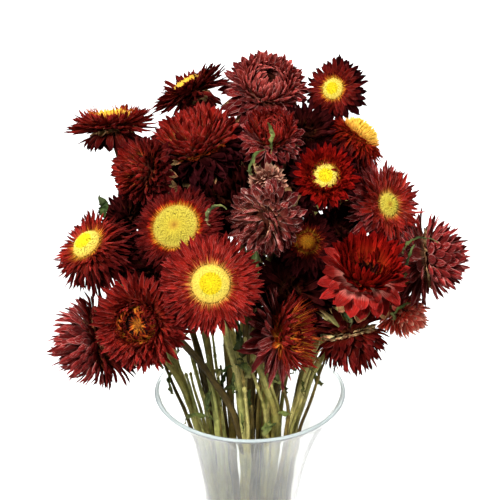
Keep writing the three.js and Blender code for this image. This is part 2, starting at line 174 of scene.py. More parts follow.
# A tree for a modifier, with its inputs as wires and the socket that its result goes to.
# An input is given as its usual number or, without one, as its kind.
def newTree(name, **inputs):
    tree = bpy.data.node_groups.new(name, "GeometryNodeTree")
    tree.interface.new_socket("geometry", in_out="OUTPUT", socket_type="NodeSocketGeometry")
    for label, value in {"geometry": "Geometry", **inputs}.items():
        kind = {int: "Int", float: "Float"}.get(type(value), value)
        socket = tree.interface.new_socket(label, in_out="INPUT", socket_type="NodeSocket" + kind)
        if kind != value:
            socket.default_value = value
    given = {socket.name: Wire(socket) for socket in addNode(tree, "NodeGroupInput").outputs if socket.name}
    return tree, SimpleNamespace(**given), addNode(tree, "NodeGroupOutput").inputs[0]


def addTree(obj, tree, **values):
    modifier = obj.modifiers.new(tree.name, "NODES")
    modifier.node_group = tree
    for item in tree.interface.items_tree:
        if item.in_out == "INPUT" and item.name in values:
            modifier[item.identifier] = values[item.name]


# Thin curved blades in a ring round +Z: bracts, scales, bristles and single leaves. Lengths in metres.
blade = {
    "crowding": 1.3,  # of the rings towards the tip
    "leastBend": 0.0013,
    "swelling": 1.7,
    "tipPower": 0.6,
    "leastHalf": 0.00006,
    "thinning": 0.7,
    "crumples": 420,
    "rimFrom": 0.99,
}


def makeWhorlTree():
    tree, given, end = newTree(
        "whorlOfBlades", count=20, sides=4, segments=6, seatRadius=0.01, seatHeight=0.0,
        length=0.02, lengthSpread=0.1, rootAngle=0.0, bend=0.0, angleSpread=0.08,
        width=0.004, thickness=0.0002, baseWidth=0.45, point=3.4, cup=0.5, twist=0.35, hook=0.1,
        ruffle=0.0003, turn=0.0, turnSpread=1.4, sway=0.0, row=0.0, seed=1,
        place="Vector", facing="Rotation", material="Material",
    )
    shape = {"Vertices": given.sides, "Side Segments": given.segments, "Radius": 1.0, "Depth": 1.0}
    single = outOf(tree, "GeometryNodeMeshCylinder", shape, fill_type="TRIANGLE_FAN")
    single, unit = captured(single, positionIn(tree), kind="VECTOR")
    points = outOf(tree, "GeometryNodePoints", {"Count": given.count})
    blades = through(points, "InstanceOnPoints", {"Instance": single})
    blades, mark = captured(blades, outOf(tree, "GeometryNodeInputIndex"), "INSTANCE", "INT")
    blades = through(blades, "RealizeInstances")
    drawn = drawsOf(mark, given.seed)
    across, thick, raised = partsOf(unit)
    along = 1.0 - (0.5 - raised).math("MAXIMUM", 0.0) ** blade["crowding"]
    turn = (mark + given.turn) / given.count * (2 * math.pi)
    turn = turn + drawn(0) * (given.turnSpread / given.count)
    wave = sine(turn * 3.0 + given.seed)
    length = given.length * (drawn(1) * given.lengthSpread + 1.0)
    root = given.rootAngle + drawn(2) * given.angleSpread + wave * given.sway
    bend = given.bend + drawn(3) * (given.angleSpread * 2.0) + blade["leastBend"]
    angle = root + bend * along
    run = length / bend * (sine(angle) - sine(root))
    rise = length / bend * (cosine(root) - cosine(angle))
    swell = (along * blade["swelling"]).math("MINIMUM", 1.0)
    swell = swell * (1.0 - given.baseWidth) + given.baseWidth
    taper = (1.0 - along ** given.point).math("MAXIMUM", 0.0) ** blade["tipPower"]
    half = (swell * taper * given.width * 0.5).math("MAXIMUM", blade["leastHalf"])
    half = half * (drawn(6) * 0.2 + 1.0)
    side = across * half
    thin = given.thickness * (1.0 - along * blade["thinning"])
    over = size(side) * size(across) * (given.cup + drawn(7) * 0.25) + thick * thin
    twist = drawn(4) * given.twist * along
    sideways = side * cosine(twist) - over * sine(twist)
    outward = side * sine(twist) + over * cosine(twist)
    hook = given.hook + drawn(8) * (size(given.hook) * 0.8)
    outward = outward + hook * length * along ** 4.0
    sideways = sideways + drawn(5) * (given.angleSpread * 1.6) * length * along ** 2.0
    far = given.seatRadius + run - outward * sine(angle)
    high = given.seatHeight + rise + outward * cosine(angle)
    x = far * cosine(turn) - sideways * sine(turn)
    y = far * sine(turn) + sideways * cosine(turn)
    blades = through(blades, "SetPosition", {"Position": vectorOf(tree, x, y, high)})
    # crumpled more and more towards the tip
    crumple = noiseAt(positionIn(tree), blade["crumples"], 1, output="Color")
    crumple = scaled(crumple, given.ruffle * along * 4.0, (0.5, 0.5, 0.5))
    blades = through(blades, "SetPosition", {"Offset": crumple})
    tone = drawn(9) * 0.5 + 0.5
    blades = stored(blades, {"along": along, "across": across, "tone": tone, "row": given.row})
    rim = {"Selection": size(across).math("GREATER_THAN", blade["rimFrom"]), "Shade Smooth": False}
    blades = through(blades, "SetShadeSmooth", rim, domain="EDGE")
    blades = through(blades, "Transform", {"Translation": given.place, "Rotation": given.facing})
    blades = through(blades, "SetMaterial", {"Material": given.material})
    tree.links.new(joined(given.geometry, blades).socket, end)
    return tree


# Florets packed in a spiral over a low dome.
floret = {"sides": 5, "girth": 1.1, "jitter": 0.12, "tilt": 0.2, "uneven": 0.3, "domePower": 3.0}


def makeFloretTree():
    tree, given, end = newTree(
        "floretsOfDisc", count=300, radius=0.009, height=0.003, dimple=0.0, floretWidth=0.001,
        floretHeight=0.0016, taper=0.2, splay=0.5, seed=1, material="Material",
    )
    shape = {"Vertices": floret["sides"], "Side Segments": 2, "Radius": 1.0, "Depth": 1.0}
    peg = outOf(tree, "GeometryNodeMeshCylinder", shape, fill_type="TRIANGLE_FAN")
    flatX, flatY, raised = partsOf(positionIn(tree))
    tall = raised + 0.5
    girth = floret["girth"] - tall ** 3.0 * (given.taper + 0.35)
    peg, unit = captured(peg, tall)
    peg = through(peg, "SetPosition", {"Position": vectorOf(tree, flatX * girth, flatY * girth, tall)})
    mark = outOf(tree, "GeometryNodeInputIndex")
    drawn = drawsOf(mark, given.seed)
    reach = ((mark + 0.5) / given.count).math("SQRT")
    turn = mark * goldenTurn + drawn(0) * floret["jitter"]
    far = reach * given.radius
    fall = 1.0 - reach ** floret["domePower"] - given.dimple * (1.0 - reach) ** 2.0
    spot = vectorOf(tree, far * cosine(turn), far * sine(turn), given.height * fall)
    points = outOf(tree, "GeometryNodePoints", {"Count": given.count})
    points = through(points, "SetPosition", {"Position": spot})
    points, ring = captured(points, reach)
    points, tone = captured(points, drawn(4) * 0.5 + 0.5)
    tilt = reach * given.splay
    aim = [part * tilt + drawn(k) * floret["tilt"] for k, part in enumerate((cosine(turn), sine(turn)), 1)]
    aim = outOf(tree, "FunctionNodeAlignRotationToVector", {"Vector": vectorOf(tree, *aim, 1.0)}, axis="Z")
    wide = given.floretWidth * 0.5
    scale = vectorOf(tree, wide, wide, given.floretHeight * (drawn(3) * floret["uneven"] + 1.0))
    pegs = through(points, "InstanceOnPoints", {"Instance": peg, "Rotation": aim, "Scale": scale})
    pegs = through(pegs, "RealizeInstances")
    pegs = stored(pegs, {"ring": ring, "tone": tone, "tall": unit})
    pegs = through(pegs, "SetShadeSmooth", {"Shade Smooth": True})
    pegs = through(pegs, "SetMaterial", {"Material": given.material})
    x, y, z = partsOf(positionIn(tree))
    base = {"ring": (x * x + y * y).math("SQRT") / given.radius, "tone": 0.5, "tall": 0.3}
    tree.links.new(joined(stored(given.geometry, base), pegs).socket, end)
    return tree


# Ribbed stalks along the edges of a mesh, with the scars of fallen leaves.
relief = {"sides": 12, "swayScale": 28, "lumpScale": 90, "lumpMean": 0.47,
          "scarSizes": (0.4, 1.3), "scarTall": 1.8}


def makeStalkTree():
    tree, given, end = newTree(
        "ribbedStalk", step=0.003, ribs=0.22, lumps=0.5, scarGap=0.014, scarSize=0.0011, wobble=0.004,
        seed=1, material="Material",
    )
    line = through(given.geometry, "MeshToCurve")
    line = through(line, "CurveSplineType", spline_type="CATMULL_ROM")
    line = through(line, "ResampleCurve", {"Length": given.step}, mode="LENGTH")
    sway = partsOf(noiseAt(positionIn(tree), relief["swayScale"], 1, output="Color"))
    sway = vectorOf(tree, (sway[0] - 0.5) * given.wobble, (sway[1] - 0.5) * given.wobble, 0.0)
    line = through(line, "SetPosition", {"Offset": sway})
    thick = outOf(tree, "GeometryNodeInputNamedAttribute", {"Name": "thickness"}, data_type="FLOAT")
    lumps = noiseAt(positionIn(tree), relief["lumpScale"]) - relief["lumpMean"]
    girth = thick * (lumps * given.lumps + 1.0)
    # lengthways ribs, on every second point of the profile
    mark = outOf(tree, "GeometryNodeInputIndex")
    circle = {"Resolution": relief["sides"], "Radius": 1.0}
    profile = outOf(tree, "GeometryNodeCurvePrimitiveCircle", circle, mode="RADIUS")
    rib = (mark.math("MODULO", 2.0) - 0.5) * given.ribs + 1.0
    profile = through(profile, "SetPosition", {"Position": scaled(positionIn(tree), rib)})
    profile, across = captured(profile, outOf(tree, "GeometryNodeSplineParameter"))
    line, along = captured(line, outOf(tree, "GeometryNodeSplineParameter", output="Length"))
    tube = through(line, "CurveToMesh", {"Profile Curve": profile, "Scale": girth, "Fill Caps": True})
    tube = stored(tube, {"along": along, "across": across})
    beads = addNode(tree, "GeometryNodeCurveToPoints", {0: line, "Length": given.scarGap}, mode="LENGTH")
    ball = outOf(tree, "GeometryNodeMeshIcoSphere", {"Radius": 1.0, "Subdivisions": 1})
    drawn = drawsOf(mark, given.seed)
    wide = given.scarSize * drawn(2, *relief["scarSizes"])
    scale = vectorOf(tree, wide, wide, wide * relief["scarTall"])
    inputs = {"Instance": ball, "Rotation": Wire(beads.outputs["Rotation"]), "Scale": scale}
    scars = through(Wire(beads.outputs[0]), "InstanceOnPoints", inputs)
    spin = outOf(tree, "FunctionNodeAxisAngleToRotation", {"Axis": (0, 0, 1), "Angle": drawn(3, 0.0, 6.28)})
    scars = through(scars, "RotateInstances", {"Rotation": spin})
    scars = through(scars, "TranslateInstances", {"Translation": vectorOf(tree, thick * 0.9, 0.0, 0.0)})
    scars = through(scars, "RealizeInstances")
    stalk = through(joined(tube, scars), "SetMaterial", {"Material": given.material})
    tree.links.new(stalk.socket, end)
    return tree


# Materials.
def newMaterial(name):
    material = bpy.data.materials.new(name)
    material.use_nodes = True
    return material, material.node_tree


# Puts numbers, colours and wires on the shader's own sockets.
def finished(material, colour, roughness, gloss=None, relief=None, **more):
    tree = material.node_tree
    values = {"Base Color": colour, "Roughness": roughness, "Specular IOR Level": gloss, "Normal": relief}
    for key, value in {**values, **more}.items():
        feed(tree, tree.nodes["Principled BSDF"].inputs[key], value)
    return material


def attributesOf(tree, *names):
    return [outOf(tree, "ShaderNodeAttribute", output="Fac", attribute_name=name) for name in names]


# Colours are given in thousandths.
def colourOf(parts):
    return (*[part / 1000 for part in parts], 1)


def rampOf(factor, places, colours):
    node = addNode(factor.tree, "ShaderNodeValToRGB", {0: factor})
    elements = node.color_ramp.elements
    while len(elements) < len(places):
        elements.new(0.5)
    for element, place, colour in zip(elements, places, colours):
        element.position = place
        element.color = colourOf(colour)
    return Wire(node.outputs[0])


def mixOf(tree, blend, factor, first, second):
    inputs = {0: factor, 6: first, 7: second}
    return outOf(tree, "ShaderNodeMix", inputs, 2, data_type="RGBA", blend_type=blend, clamp_result=True)


def rangeOf(value, low, high, toLow, toHigh):
    return outOf(value.tree, "ShaderNodeMapRange", {0: value, 1: low, 2: high, 3: toLow, 4: toHigh})


# Multiplies a colour by factors, for grain and tone that vary and, on the florets, for painted shade.
def variedAndShaded(colour, *factors):
    tree = colour.tree
    for factor in factors:
        colour = mixOf(tree, "MULTIPLY", 1.0, colour, vectorOf(tree, factor, factor, factor))
    return colour


def bumpOf(height, strength, distance):
    inputs = {"Strength": strength, "Distance": distance, "Height": height}
    return outOf(height.tree, "ShaderNodeBump", inputs)


def objectPlace(tree):
    return outOf(tree, "ShaderNodeTexCoord", output="Object")


# Papery bracts: colours from the root to the tip, of the back rows and of the front rows. Glint is how much
# painted highlight shows on them, in pale streaks along them and along their edges, and gleam is its colour.
usualPaint = {"places": (0.0, 0.2, 0.65, 1.0), "silk": 0.0}
bractPaints = {
    "red": dict(
        glint=0.5, gleam=(560, 270, 220),
        outer=((300, 120, 30), (130, 10, 5), (155, 6, 4), (90, 4, 5)),
        inner=((420, 140, 16), (230, 24, 6), (220, 9, 5), (180, 8, 6)),
    ),
    "vivid": dict(
        glint=0.06, gleam=(600, 160, 120),
        outer=((300, 100, 20), (140, 8, 4), (170, 4, 3), (100, 3, 4)),
        inner=((420, 120, 12), (260, 18, 4), (250, 6, 3), (190, 4, 3)),
    ),
    "dark": dict(
        glint=0.36, gleam=(400, 160, 130),
        outer=((140, 50, 20), (50, 4, 3), (55, 3, 3), (30, 2, 3)),
        inner=((360, 90, 10), (170, 14, 4), (120, 6, 4), (70, 4, 4)),
    ),
    "shadow": dict(
        glint=0.15, gleam=(300, 90, 80),
        outer=((60, 20, 10), (20, 3, 3), (18, 2, 3), (16, 2, 3)),
        inner=((100, 30, 8), (40, 5, 3), (30, 3, 3), (20, 2, 2)),
    ),
    "flame": dict(
        places=(0.0, 0.22, 0.6, 1.0), glint=0.1, gleam=(700, 300, 200),
        outer=((550, 220, 20), (320, 30, 6), (220, 9, 4), (140, 6, 4)),
        inner=((600, 260, 18), (380, 38, 6), (260, 10, 4), (160, 6, 4)),
    ),
    "faded": dict(
        places=(0.0, 0.25, 0.7, 1.0), glint=0.95, gleam=(850, 460, 400), silk=0.05,
        outer=((340, 200, 90), (150, 16, 12), (130, 8, 8), (100, 6, 7)),
        inner=((400, 180, 80), (250, 22, 16), (220, 13, 12), (220, 20, 18)),
    ),
    "pale": dict(
        places=(0.0, 0.2, 0.6, 1.0), glint=1.0, gleam=(1000, 660, 560),
        outer=((320, 170, 85), (170, 32, 24), (120, 12, 11), (90, 8, 9)),
        inner=((420, 250, 130), (240, 55, 34), (170, 20, 16), (140, 15, 13)),
    ),
    # rosy: deep red bracts with pale pink tips, painted highlight where the upturned head meets the light
    "rosy": dict(
        places=(0.0, 0.3, 0.7, 1.0), glint=1.0, gleam=(1000, 550, 480),
        outer=((600, 300, 160), (440, 80, 50), (360, 30, 24), (500, 100, 80)),
        inner=((200, 30, 20), (130, 6, 5), (210, 12, 10), (460, 80, 65)),
    ),
    # rouge: salmon bracts made brighter as painted light, for their head turns away from the lamps
    "rouge": dict(
        places=(0.0, 0.3, 0.7, 1.0), glint=0.6, gleam=(900, 500, 400),
        outer=((700, 360, 200), (600, 110, 70), (680, 90, 55), (850, 320, 200)),
        inner=((700, 360, 200), (600, 110, 70), (680, 80, 50), (900, 380, 260)),
    ),
    "biscuit": dict(
        places=(0.0, 0.3, 0.65, 1.0), glint=0.6, gleam=(800, 550, 450),
        outer=((200, 90, 40), (140, 30, 16), (280, 90, 55), (660, 380, 250)),
        inner=((250, 120, 50), (130, 20, 12), (250, 60, 40), (640, 300, 200)),
    ),
    "blush": dict(
        places=(0.0, 0.38, 0.6, 1.0), glint=0.2, gleam=(800, 360, 300),
        outer=((850, 560, 420), (550, 140, 120), (240, 7, 6), (170, 5, 5)),
        inner=((600, 340, 160), (400, 100, 60), (240, 24, 16), (160, 10, 8)),
    ),
    "scales": dict(
        places=(0.0, 0.4, 0.75, 1.0), glint=0.3, gleam=(600, 400, 300),
        outer=((320, 300, 90), (340, 300, 100), (340, 200, 80), (120, 20, 12)),
        inner=((800, 620, 300), (850, 660, 340), (500, 260, 130), (140, 14, 10)),
    ),
    "bristles": dict(
        places=(0.0, 0.35, 0.7, 1.0), glint=0.0, gleam=(700, 400, 200),
        outer=((550, 360, 60), (450, 170, 30), (300, 40, 12), (160, 12, 6)),
        inner=((700, 380, 30), (600, 240, 20), (420, 70, 10), (180, 10, 5)),
    ),
}
bractVeinsAndGlints = {"veins": 2.2, "glintStreaks": 1.7, "glintFrom": 0.61, "glintTo": 0.69,
               "rimFrom": 0.8, "rimGlintShare": 0.5}


def makeBractMaterial(name, paint):
    paint = {**usualPaint, **paint}
    material, tree = newMaterial(name)
    along, across, tone, row = attributesOf(tree, "along", "across", "tone", "row")
    outer, inner = [rampOf(along, paint["places"], paint[key]) for key in ("outer", "inner")]
    veins = noiseAt(vectorOf(tree, across * 6.0, along * 1.2, tone * 37.0), bractVeinsAndGlints["veins"], 3, 0.6)
    glintStreaks = noiseAt(vectorOf(tree, across * 9.0, along * 2.0, tone * 53.0), bractVeinsAndGlints["glintStreaks"], 2, 0.5)
    blotch = noiseAt(objectPlace(tree), 130, 3)
    edge = rangeOf(size(across), 0.5, 1.0, 0.85, 1.35)
    colour = variedAndShaded(mixOf(tree, "MIX", row, outer, inner), rangeOf(veins, *midNoise, 0.4, 1.6))
    colour = variedAndShaded(colour, rangeOf(tone, 0.0, 1.0, 0.35, 1.45), rangeOf(blotch, *midNoise, 0.75, 1.25), edge)
    # painted highlights: pale streaks on some bracts, and a pale band along their edges
    glint = rangeOf(glintStreaks, bractVeinsAndGlints["glintFrom"], bractVeinsAndGlints["glintTo"], 0.0, paint["glint"])
    glint = glint * rangeOf(tone, 0.3, 0.9, 0.1, 1.0)
    rim = rangeOf(size(across), bractVeinsAndGlints["rimFrom"], 1.0, 0.0, paint["glint"] * bractVeinsAndGlints["rimGlintShare"])
    glint = glint.math("MAXIMUM", rim * rangeOf(blotch, 0.45, 0.6, 0.1, 1.0))
    colour = mixOf(tree, "MIX", glint, colour, colourOf(paint["gleam"]))
    sheen = {"Sheen Weight": paint["silk"], "Sheen Roughness": 0.4, "Sheen Tint": (1.0, 0.7, 0.65, 1)}
    return finished(material, colour, 0.6, 0.0, bumpOf(veins, 0.6, 0.0004), **sheen)


# Discs of florets, from the middle out.
discPaints = {
    "gold": dict(places=(0.0, 0.56, 0.62, 0.9, 1.0),
        colours=((800, 640, 12), (740, 560, 12), (740, 640, 100), (720, 560, 90), (550, 320, 50))),
    "straw": dict(places=(0.0, 0.12, 0.32, 0.9, 1.0), flecks=0.015,
        colours=((220, 90, 12), (400, 240, 25), (500, 400, 40), (500, 410, 55), (420, 220, 30))),
    "tuft": dict(places=(0.0, 0.5, 0.85, 1.0),
        colours=((800, 520, 50), (800, 500, 50), (820, 500, 70), (600, 240, 30))),
    "ember": dict(places=(0.0, 0.5, 0.8, 1.0),
        colours=((950, 460, 30), (900, 380, 25), (600, 140, 15), (300, 40, 10))),
    # rust: orange-brown in the middle, near-black further out as painted shade down in its sunken heart
    "rust": dict(places=(0.0, 0.3, 0.55, 1.0),
        colours=((400, 120, 12), (120, 30, 6), (16, 4, 3), (12, 3, 3))),
}


def makeDiscMaterial(name, paint):
    material, tree = newMaterial(name)
    ring, tone, tall = attributesOf(tree, "ring", "tone", "tall")
    colour = rampOf(ring, paint["places"], paint["colours"])
    # painted shade: each floret darker towards its foot, down among its neighbours; tone varies at random
    colour = variedAndShaded(colour, rangeOf(tone, 0.0, 1.0, 0.86, 1.08), rangeOf(tall, 0.0, 1.0, 0.8, 1.04))
    fleck = tone.math("LESS_THAN", paint.get("flecks", 0.0)) * 0.85
    colour = mixOf(tree, "MIX", fleck, colour, colourOf((60, 35, 10)))
    return finished(material, colour, 0.8, 0.06, bumpOf(noiseAt(objectPlace(tree), 2600), 0.3, 0.0003))


# The dull receptacle under the bracts, near-black as painted shade, for it shows only deep inside the heads.
def makeCoreMaterial():
    material, tree = newMaterial("headCore")
    grain = noiseAt(objectPlace(tree), 900, 3)
    colour = rampOf(grain, midNoise, ((12, 3, 2), (60, 14, 8)))
    return finished(material, colour, 1.0, 0.0, bumpOf(grain, 0.6, 0.0004))


stalkPaint = {
    "places": (0.2, 0.38, 0.5, 0.64, 0.8),
    "colours": ((70, 45, 11), (280, 200, 50), (280, 255, 60), (620, 530, 180), (360, 360, 100)),
}


def makeStemMaterial():
    material, tree = newMaterial("dryStalk")
    place = objectPlace(tree)
    along, across, tone = attributesOf(tree, "along", "across", "tone")
    fine = noiseAt(place, 320, 4, 0.65)
    grain = noiseAt(vectorOf(tree, across * 24.0, along * 60.0, 0.0), 1.0, 4, 0.6)
    shade = noiseAt(place, 46, 3) * 0.7 + tone * 0.8 - 0.25
    colour = rampOf(shade, stalkPaint["places"], stalkPaint["colours"])
    colour = variedAndShaded(colour, rangeOf(grain, *midNoise, 0.5, 1.36), rangeOf(fine, *midNoise, 0.65, 1.3))
    roughness = rangeOf(fine, *midNoise, 0.6, 0.9)
    return finished(material, colour, roughness, 0.2, bumpOf(grain + fine, 0.8, 0.0007))


# Leaf colours as shares of the green one, and the green one's colours; the darkest share is painted shade.
leafPaints = {"green": (1, 1, 1), "deep": (0.3, 0.42, 0.35), "pale": (2.4, 1.9, 2.6)}
leafGreens = {
    "places": (0.25, 0.48, 0.64, 0.8),
    "colours": ((18, 30, 7), (60, 85, 18), (130, 160, 35), (240, 240, 70)),
    "midrib": (150, 180, 60),
    "tip": (120, 90, 30),
}


def makeLeafMaterial(name, paint):
    material, tree = newMaterial(name)
    along, across, tone = attributesOf(tree, "along", "across", "tone")
    place = objectPlace(tree)
    colour = rampOf(noiseAt(place, 190, 3) + tone * 0.3 - 0.15, leafGreens["places"], leafGreens["colours"])
    midrib = rangeOf(size(across), 0.0, 0.3, 0.6, 0.0)
    colour = mixOf(tree, "MIX", midrib, colour, colourOf(leafGreens["midrib"]))
    colour = mixOf(tree, "MIX", rangeOf(along, 0.7, 1.0, 0.0, 0.7), colour, colourOf(leafGreens["tip"]))
    colour = mixOf(tree, "MULTIPLY", 1.0, colour, (*paint, 1))
    return finished(material, colour, 0.75, 0.2, bumpOf(noiseAt(place, 900, 3), 0.6, 0.0004))


def makeGlassMaterial(name, low, high, clearness):
    material, tree = newMaterial(name)
    place = objectPlace(tree)
    smear = noiseAt(place, 14)
    # the thick glass of the lower body is greener than the flare
    height = partsOf(place)[2] * 5.0 + smear * 0.03
    clear = {"Transmission Weight": clearness, "IOR": 1.4}
    colour = rampOf(height, (0.81, 0.88), (low, high))
    return finished(material, colour, rangeOf(smear, *midNoise, 0.0, 0.02), **clear)


def allOf(make, prefix, paints):
    return {name: make(prefix + name.title(), paint) for name, paint in paints.items()}


print("materials")
bractMaterials = allOf(makeBractMaterial, "bract", bractPaints)
discMaterials = allOf(makeDiscMaterial, "florets", discPaints)
coreMaterial = makeCoreMaterial()
stemMaterial = makeStemMaterial()
leafMaterials = allOf(makeLeafMaterial, "curledLeaf", leafPaints)
glassMaterial = makeGlassMaterial("clearGlass", (880, 885, 840), (960, 980, 950), 0.86)
lipMaterial = makeGlassMaterial("lipGlass", (700, 820, 820), (760, 860, 860), 0.5)

print("node trees")
whorlTree = makeWhorlTree()
floretTree = makeFloretTree()
stalkTree = makeStalkTree()


# Meshes. A bearing is counted in degrees from the front (-Y) towards +X, a lift is degrees above level.
def directionOf(bearing, lift):
    turn = math.radians(bearing)
    level = math.cos(math.radians(lift))
    return Vector((math.sin(turn) * level, -math.cos(turn) * level, math.sin(math.radians(lift))))


# Rings of points round Z, closed at both ends, as a mesh with its faces out.
def latheMesh(name, profile, sides):
    made = bmesh.new()
    rings = []
    for radius, height in profile:
        if radius < 1e-7:
            rings.append([made.verts.new((0, 0, height))])
        else:
            turns = [2 * math.pi * k / sides for k in range(sides)]
            spots = [(math.cos(turn) * radius, math.sin(turn) * radius, height) for turn in turns]
            rings.append([made.verts.new(spot) for spot in spots])
    for low, high in zip(rings, rings[1:]):
        for k in range(sides):
            corners = [low[k % len(low)], low[(k + 1) % len(low)]]
            corners += [high[(k + 1) % len(high)], high[k % len(high)]]
            made.faces.new(list(dict.fromkeys(corners)))
    bmesh.ops.recalc_face_normals(made, faces=made.faces)
    for face in made.faces:
        face.smooth = True
    mesh = bpy.data.meshes.new(name)
    made.to_mesh(mesh)
    made.free()
    return mesh


def newObject(name, data):
    obj = bpy.data.objects.new(name, data)
    bpy.context.scene.collection.objects.link(obj)
    return obj


# The evaluated object as a plain mesh, its modifiers gone.
def settle(obj):
    bpy.context.view_layer.update()
    graph = bpy.context.evaluated_depsgraph_get()
    mesh = bpy.data.meshes.new_from_object(obj.evaluated_get(graph), depsgraph=graph)
    obj.modifiers.clear()
    obj.data = mesh
    mesh.name = obj.name


def place(obj, slot, *nodes):
    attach(obj, body)
    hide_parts(*nodes)


# Flower heads: place in mm, the bearing and lift they face, spread in mm, form and shade, and the radius of
# an open one's disc. Paint and inner are the colours of the back and the front rows, and innerFrom says where
# the front ones begin. Shares of the usual: narrow of a bract's width and stretch of its length, both at the
# back and in front, and dense of their number. Lean is added to the front rows' angle, in degrees. Over is
# the number of bracts curled in over the disc, and scales are the short rows.
def head(at, faces, spread, form, shade, **more):
    return {"at": at, "faces": faces, "spread": spread, "form": form, "shade": shade, **more}


shaded = {"paint": "shadow", "scales": ()}
blooms = {
    "FrontFull": head((-19, -78, 307), (0, 31), 26, "open", "red", disc=9.4, heart="gold", dense=1.2,
        narrow=(0.7, 0.62), stretch=(1.01, 1.01), mess=0.06, hook=0.03, fine=0.5),
    "LeftWide": head((-37, -37, 317), (-22, 48), 24, "open", "dark", disc=11.6, heart="straw",
        inner="flame", innerFrom=0.82, dense=1.1, narrow=(0.68, 0.68), fine=0.7, bristle=0.13),
    "LeftSide": head((-83, -18, 297), (-62, 52), 24, "cap", "dark", disc=8, heart="gold", inner="red",
        innerFrom=0.82, dense=1.1, narrow=(0.68, 0.68), mess=0.16),
    "LowerLeft": head((-55, -60, 275), (-18, 16), 25, "bowl", "red", disc=8, heart="rust", dense=1.15,
        narrow=(0.8, 0.66), stretch=(1.03, 1.03), over=44),
    "LowFarLeft": head((-82, -22, 242), (-84, -14), 26, "pompon", "dark", inner="faded", rows=14,
        narrow=(1.1, 0.85), mess=0.13, core=0.56, scales=(0, 4)),
    "LowCentre": head((19, -50, 262), (74, 16), 27, "bowl", "red", disc=7, heart="rust", paint="faded",
        inner="red", narrow=(1.3, 0.6), mess=0.16, lean=-22, bristle=0.5, over=20, scales=(0, 5, 6, 7),
        seam="bristles"),
    "LowRight": head((52, -27, 248), (30, -62), 22, "pompon", "dark", narrow=(1.1, 0.95), scales=(0, 4, 5)),
    "RightSmall": head((81, -2, 248), (72, -24), 15, "pompon", "faded", paint="rouge", narrow=(1.1, 1.0)),
    "RightGlobe": head((95, 4, 278), (84, 8), 25, "pompon", "faded", dense=1.2, narrow=(1.3, 1.2),
        stretch=(1.14, 0.86), mess=0.09, hook=0.02, scales=(0, 5)),
    "RightBright": head((58, -43, 294), (14, 66), 24, "lily", "red", paint="blush", inner="vivid", rows=10,
        narrow=(1.1, 0.9), mess=0.08, hook=0.05),
    "RightWide": head((71, 0, 311), (44, 30), 22, "open", "red", disc=6, heart="straw", paint="faded",
        inner="red", innerFrom=0.62, narrow=(1.1, 0.95), stretch=(1.08, 1.08), mess=0.16),
    "CentreRight": head((38, -14, 334), (3, 38), 18, "bowl", "red", disc=6.2, heart="gold", paint="shadow",
        inner="vivid", innerFrom=0.42, narrow=(1.15, 0.9), stretch=(1.04, 1.04), over=26),
    "TopRight": head((44, 53, 353), (-30, 32), 17, "open", "dark", disc=5.6, heart="gold", paint="shadow",
        inner="dark", innerFrom=0.55, rows=9, narrow=(1.5, 1.2), stretch=(1.12, 1.06)),
    "TopCap": head((57, 33, 335), (112, 48), 19, "cap", "dark", disc=9.6, heart="tuft", inner="flame",
        narrow=(0.72, 0.72), mess=0.16),
    "TopGlobe": head((9, 46, 357), (18, 58), 21, "rosette", "faded", inner="rosy", rows=14,
        narrow=(0.95, 0.85), stretch=(1.16, 1.0), mess=0.12, hook=0.04, core=0.5),
    "TopLeft": head((-32, 50, 355), (-112, 58), 23, "open", "dark", disc=6, heart="tuft", narrow=(1.3, 1.0),
        mess=0.13, lean=14, bristle=0.34, over=30, scales=(2, 3)),
    "FarLeft": head((-71, 23, 348), (-168, 70), 25, "bowl", "dark", disc=8.4, heart="tuft", inner="red",
        narrow=(1.15, 0.8), mess=0.12, lean=-34, bristle=0.34, scales=(3, 4)),
    "UpperLeftBig": head((-28, 13, 341), (-84, 74), 27, "cup", "dark", paint="shadow", inner="red", rows=18,
        narrow=(1.0, 0.8), stretch=(1.12, 0.78), mess=0.12, hook=0.03, core=0.58, scales=(0, 7, 8),
        seam="bristles"),
    "UpperLeftLow": head((-55, -11, 336), (-54, 28), 18, "cup", "dark", inner="red", innerFrom=0.7, rows=14,
        narrow=(1.0, 0.85), stretch=(1.12, 0.9), mess=0.13, hook=0.03, core=0.56),
    "UpperCentre": head((11, 8, 347), (10, 62), 18, "rosette", "faded", inner="red", rows=13,
        narrow=(1.2, 0.5), mess=0.2),
    "SmallPale": head((9, -13, 328), (6, -8), 11, "globe", "faded", paint="biscuit", narrow=(0.7, 0.6),
        mess=0.18),
    "PaleCentre": head((6, -44, 324), (-30, 4), 19, "pompon", "faded", paint="pale", narrow=(1.2, 1.1),
        mess=0.2, core=0.56),
    "ShadeRight": head((29, -23, 301), (12, 42), 18, "open", "dark", disc=5, heart="ember", paint="shadow",
        inner="dark", innerFrom=0.8, over=24),
    "BehindRight": head((29, 29, 339), (20, 58), 15, "cup", "dark", **shaded, rows=8, stretch=(1.3, 1.2)),
    "BehindLeft": head((-65, 9, 299), (-70, 62), 16, "cup", "dark", **shaded, rows=8),
    "ShadeLeft": head((-12, 0, 317), (-8, 50), 17, "globe", "dark", **shaded, rows=9, dense=1.4,
        narrow=(1.3, 1.3), stretch=(1.7, 1.65)),
    "ShadeMid": head((48, 4, 297), (34, 48), 15, "globe", "dark", **shaded, rows=8),
    "BackLeft": head((-54, 58, 290), (-130, 25), 21, "cup", "red", rows=9),
    "InnerLeft": head((-51, -20, 288), (-40, 34), 17, "globe", "dark", **shaded, rows=8, dense=1.2,
        stretch=(1.35, 1.2)),
    "InnerRight": head((22, -17, 269), (2, 28), 22, "cup", "dark", **shaded, rows=9, stretch=(1.35, 1.1)),
    "BackMid": head((-5, 84, 300), (178, 35), 25, "cup", "red", rows=9),
    "BackRight": head((58, 66, 283), (140, 25), 23, "globe", "red", rows=9),
    "ShadeCentre": head((22, 8, 317), (14, 40), 18, "cup", "dark", **shaded, rows=9, stretch=(1.25, 1.25)),
}

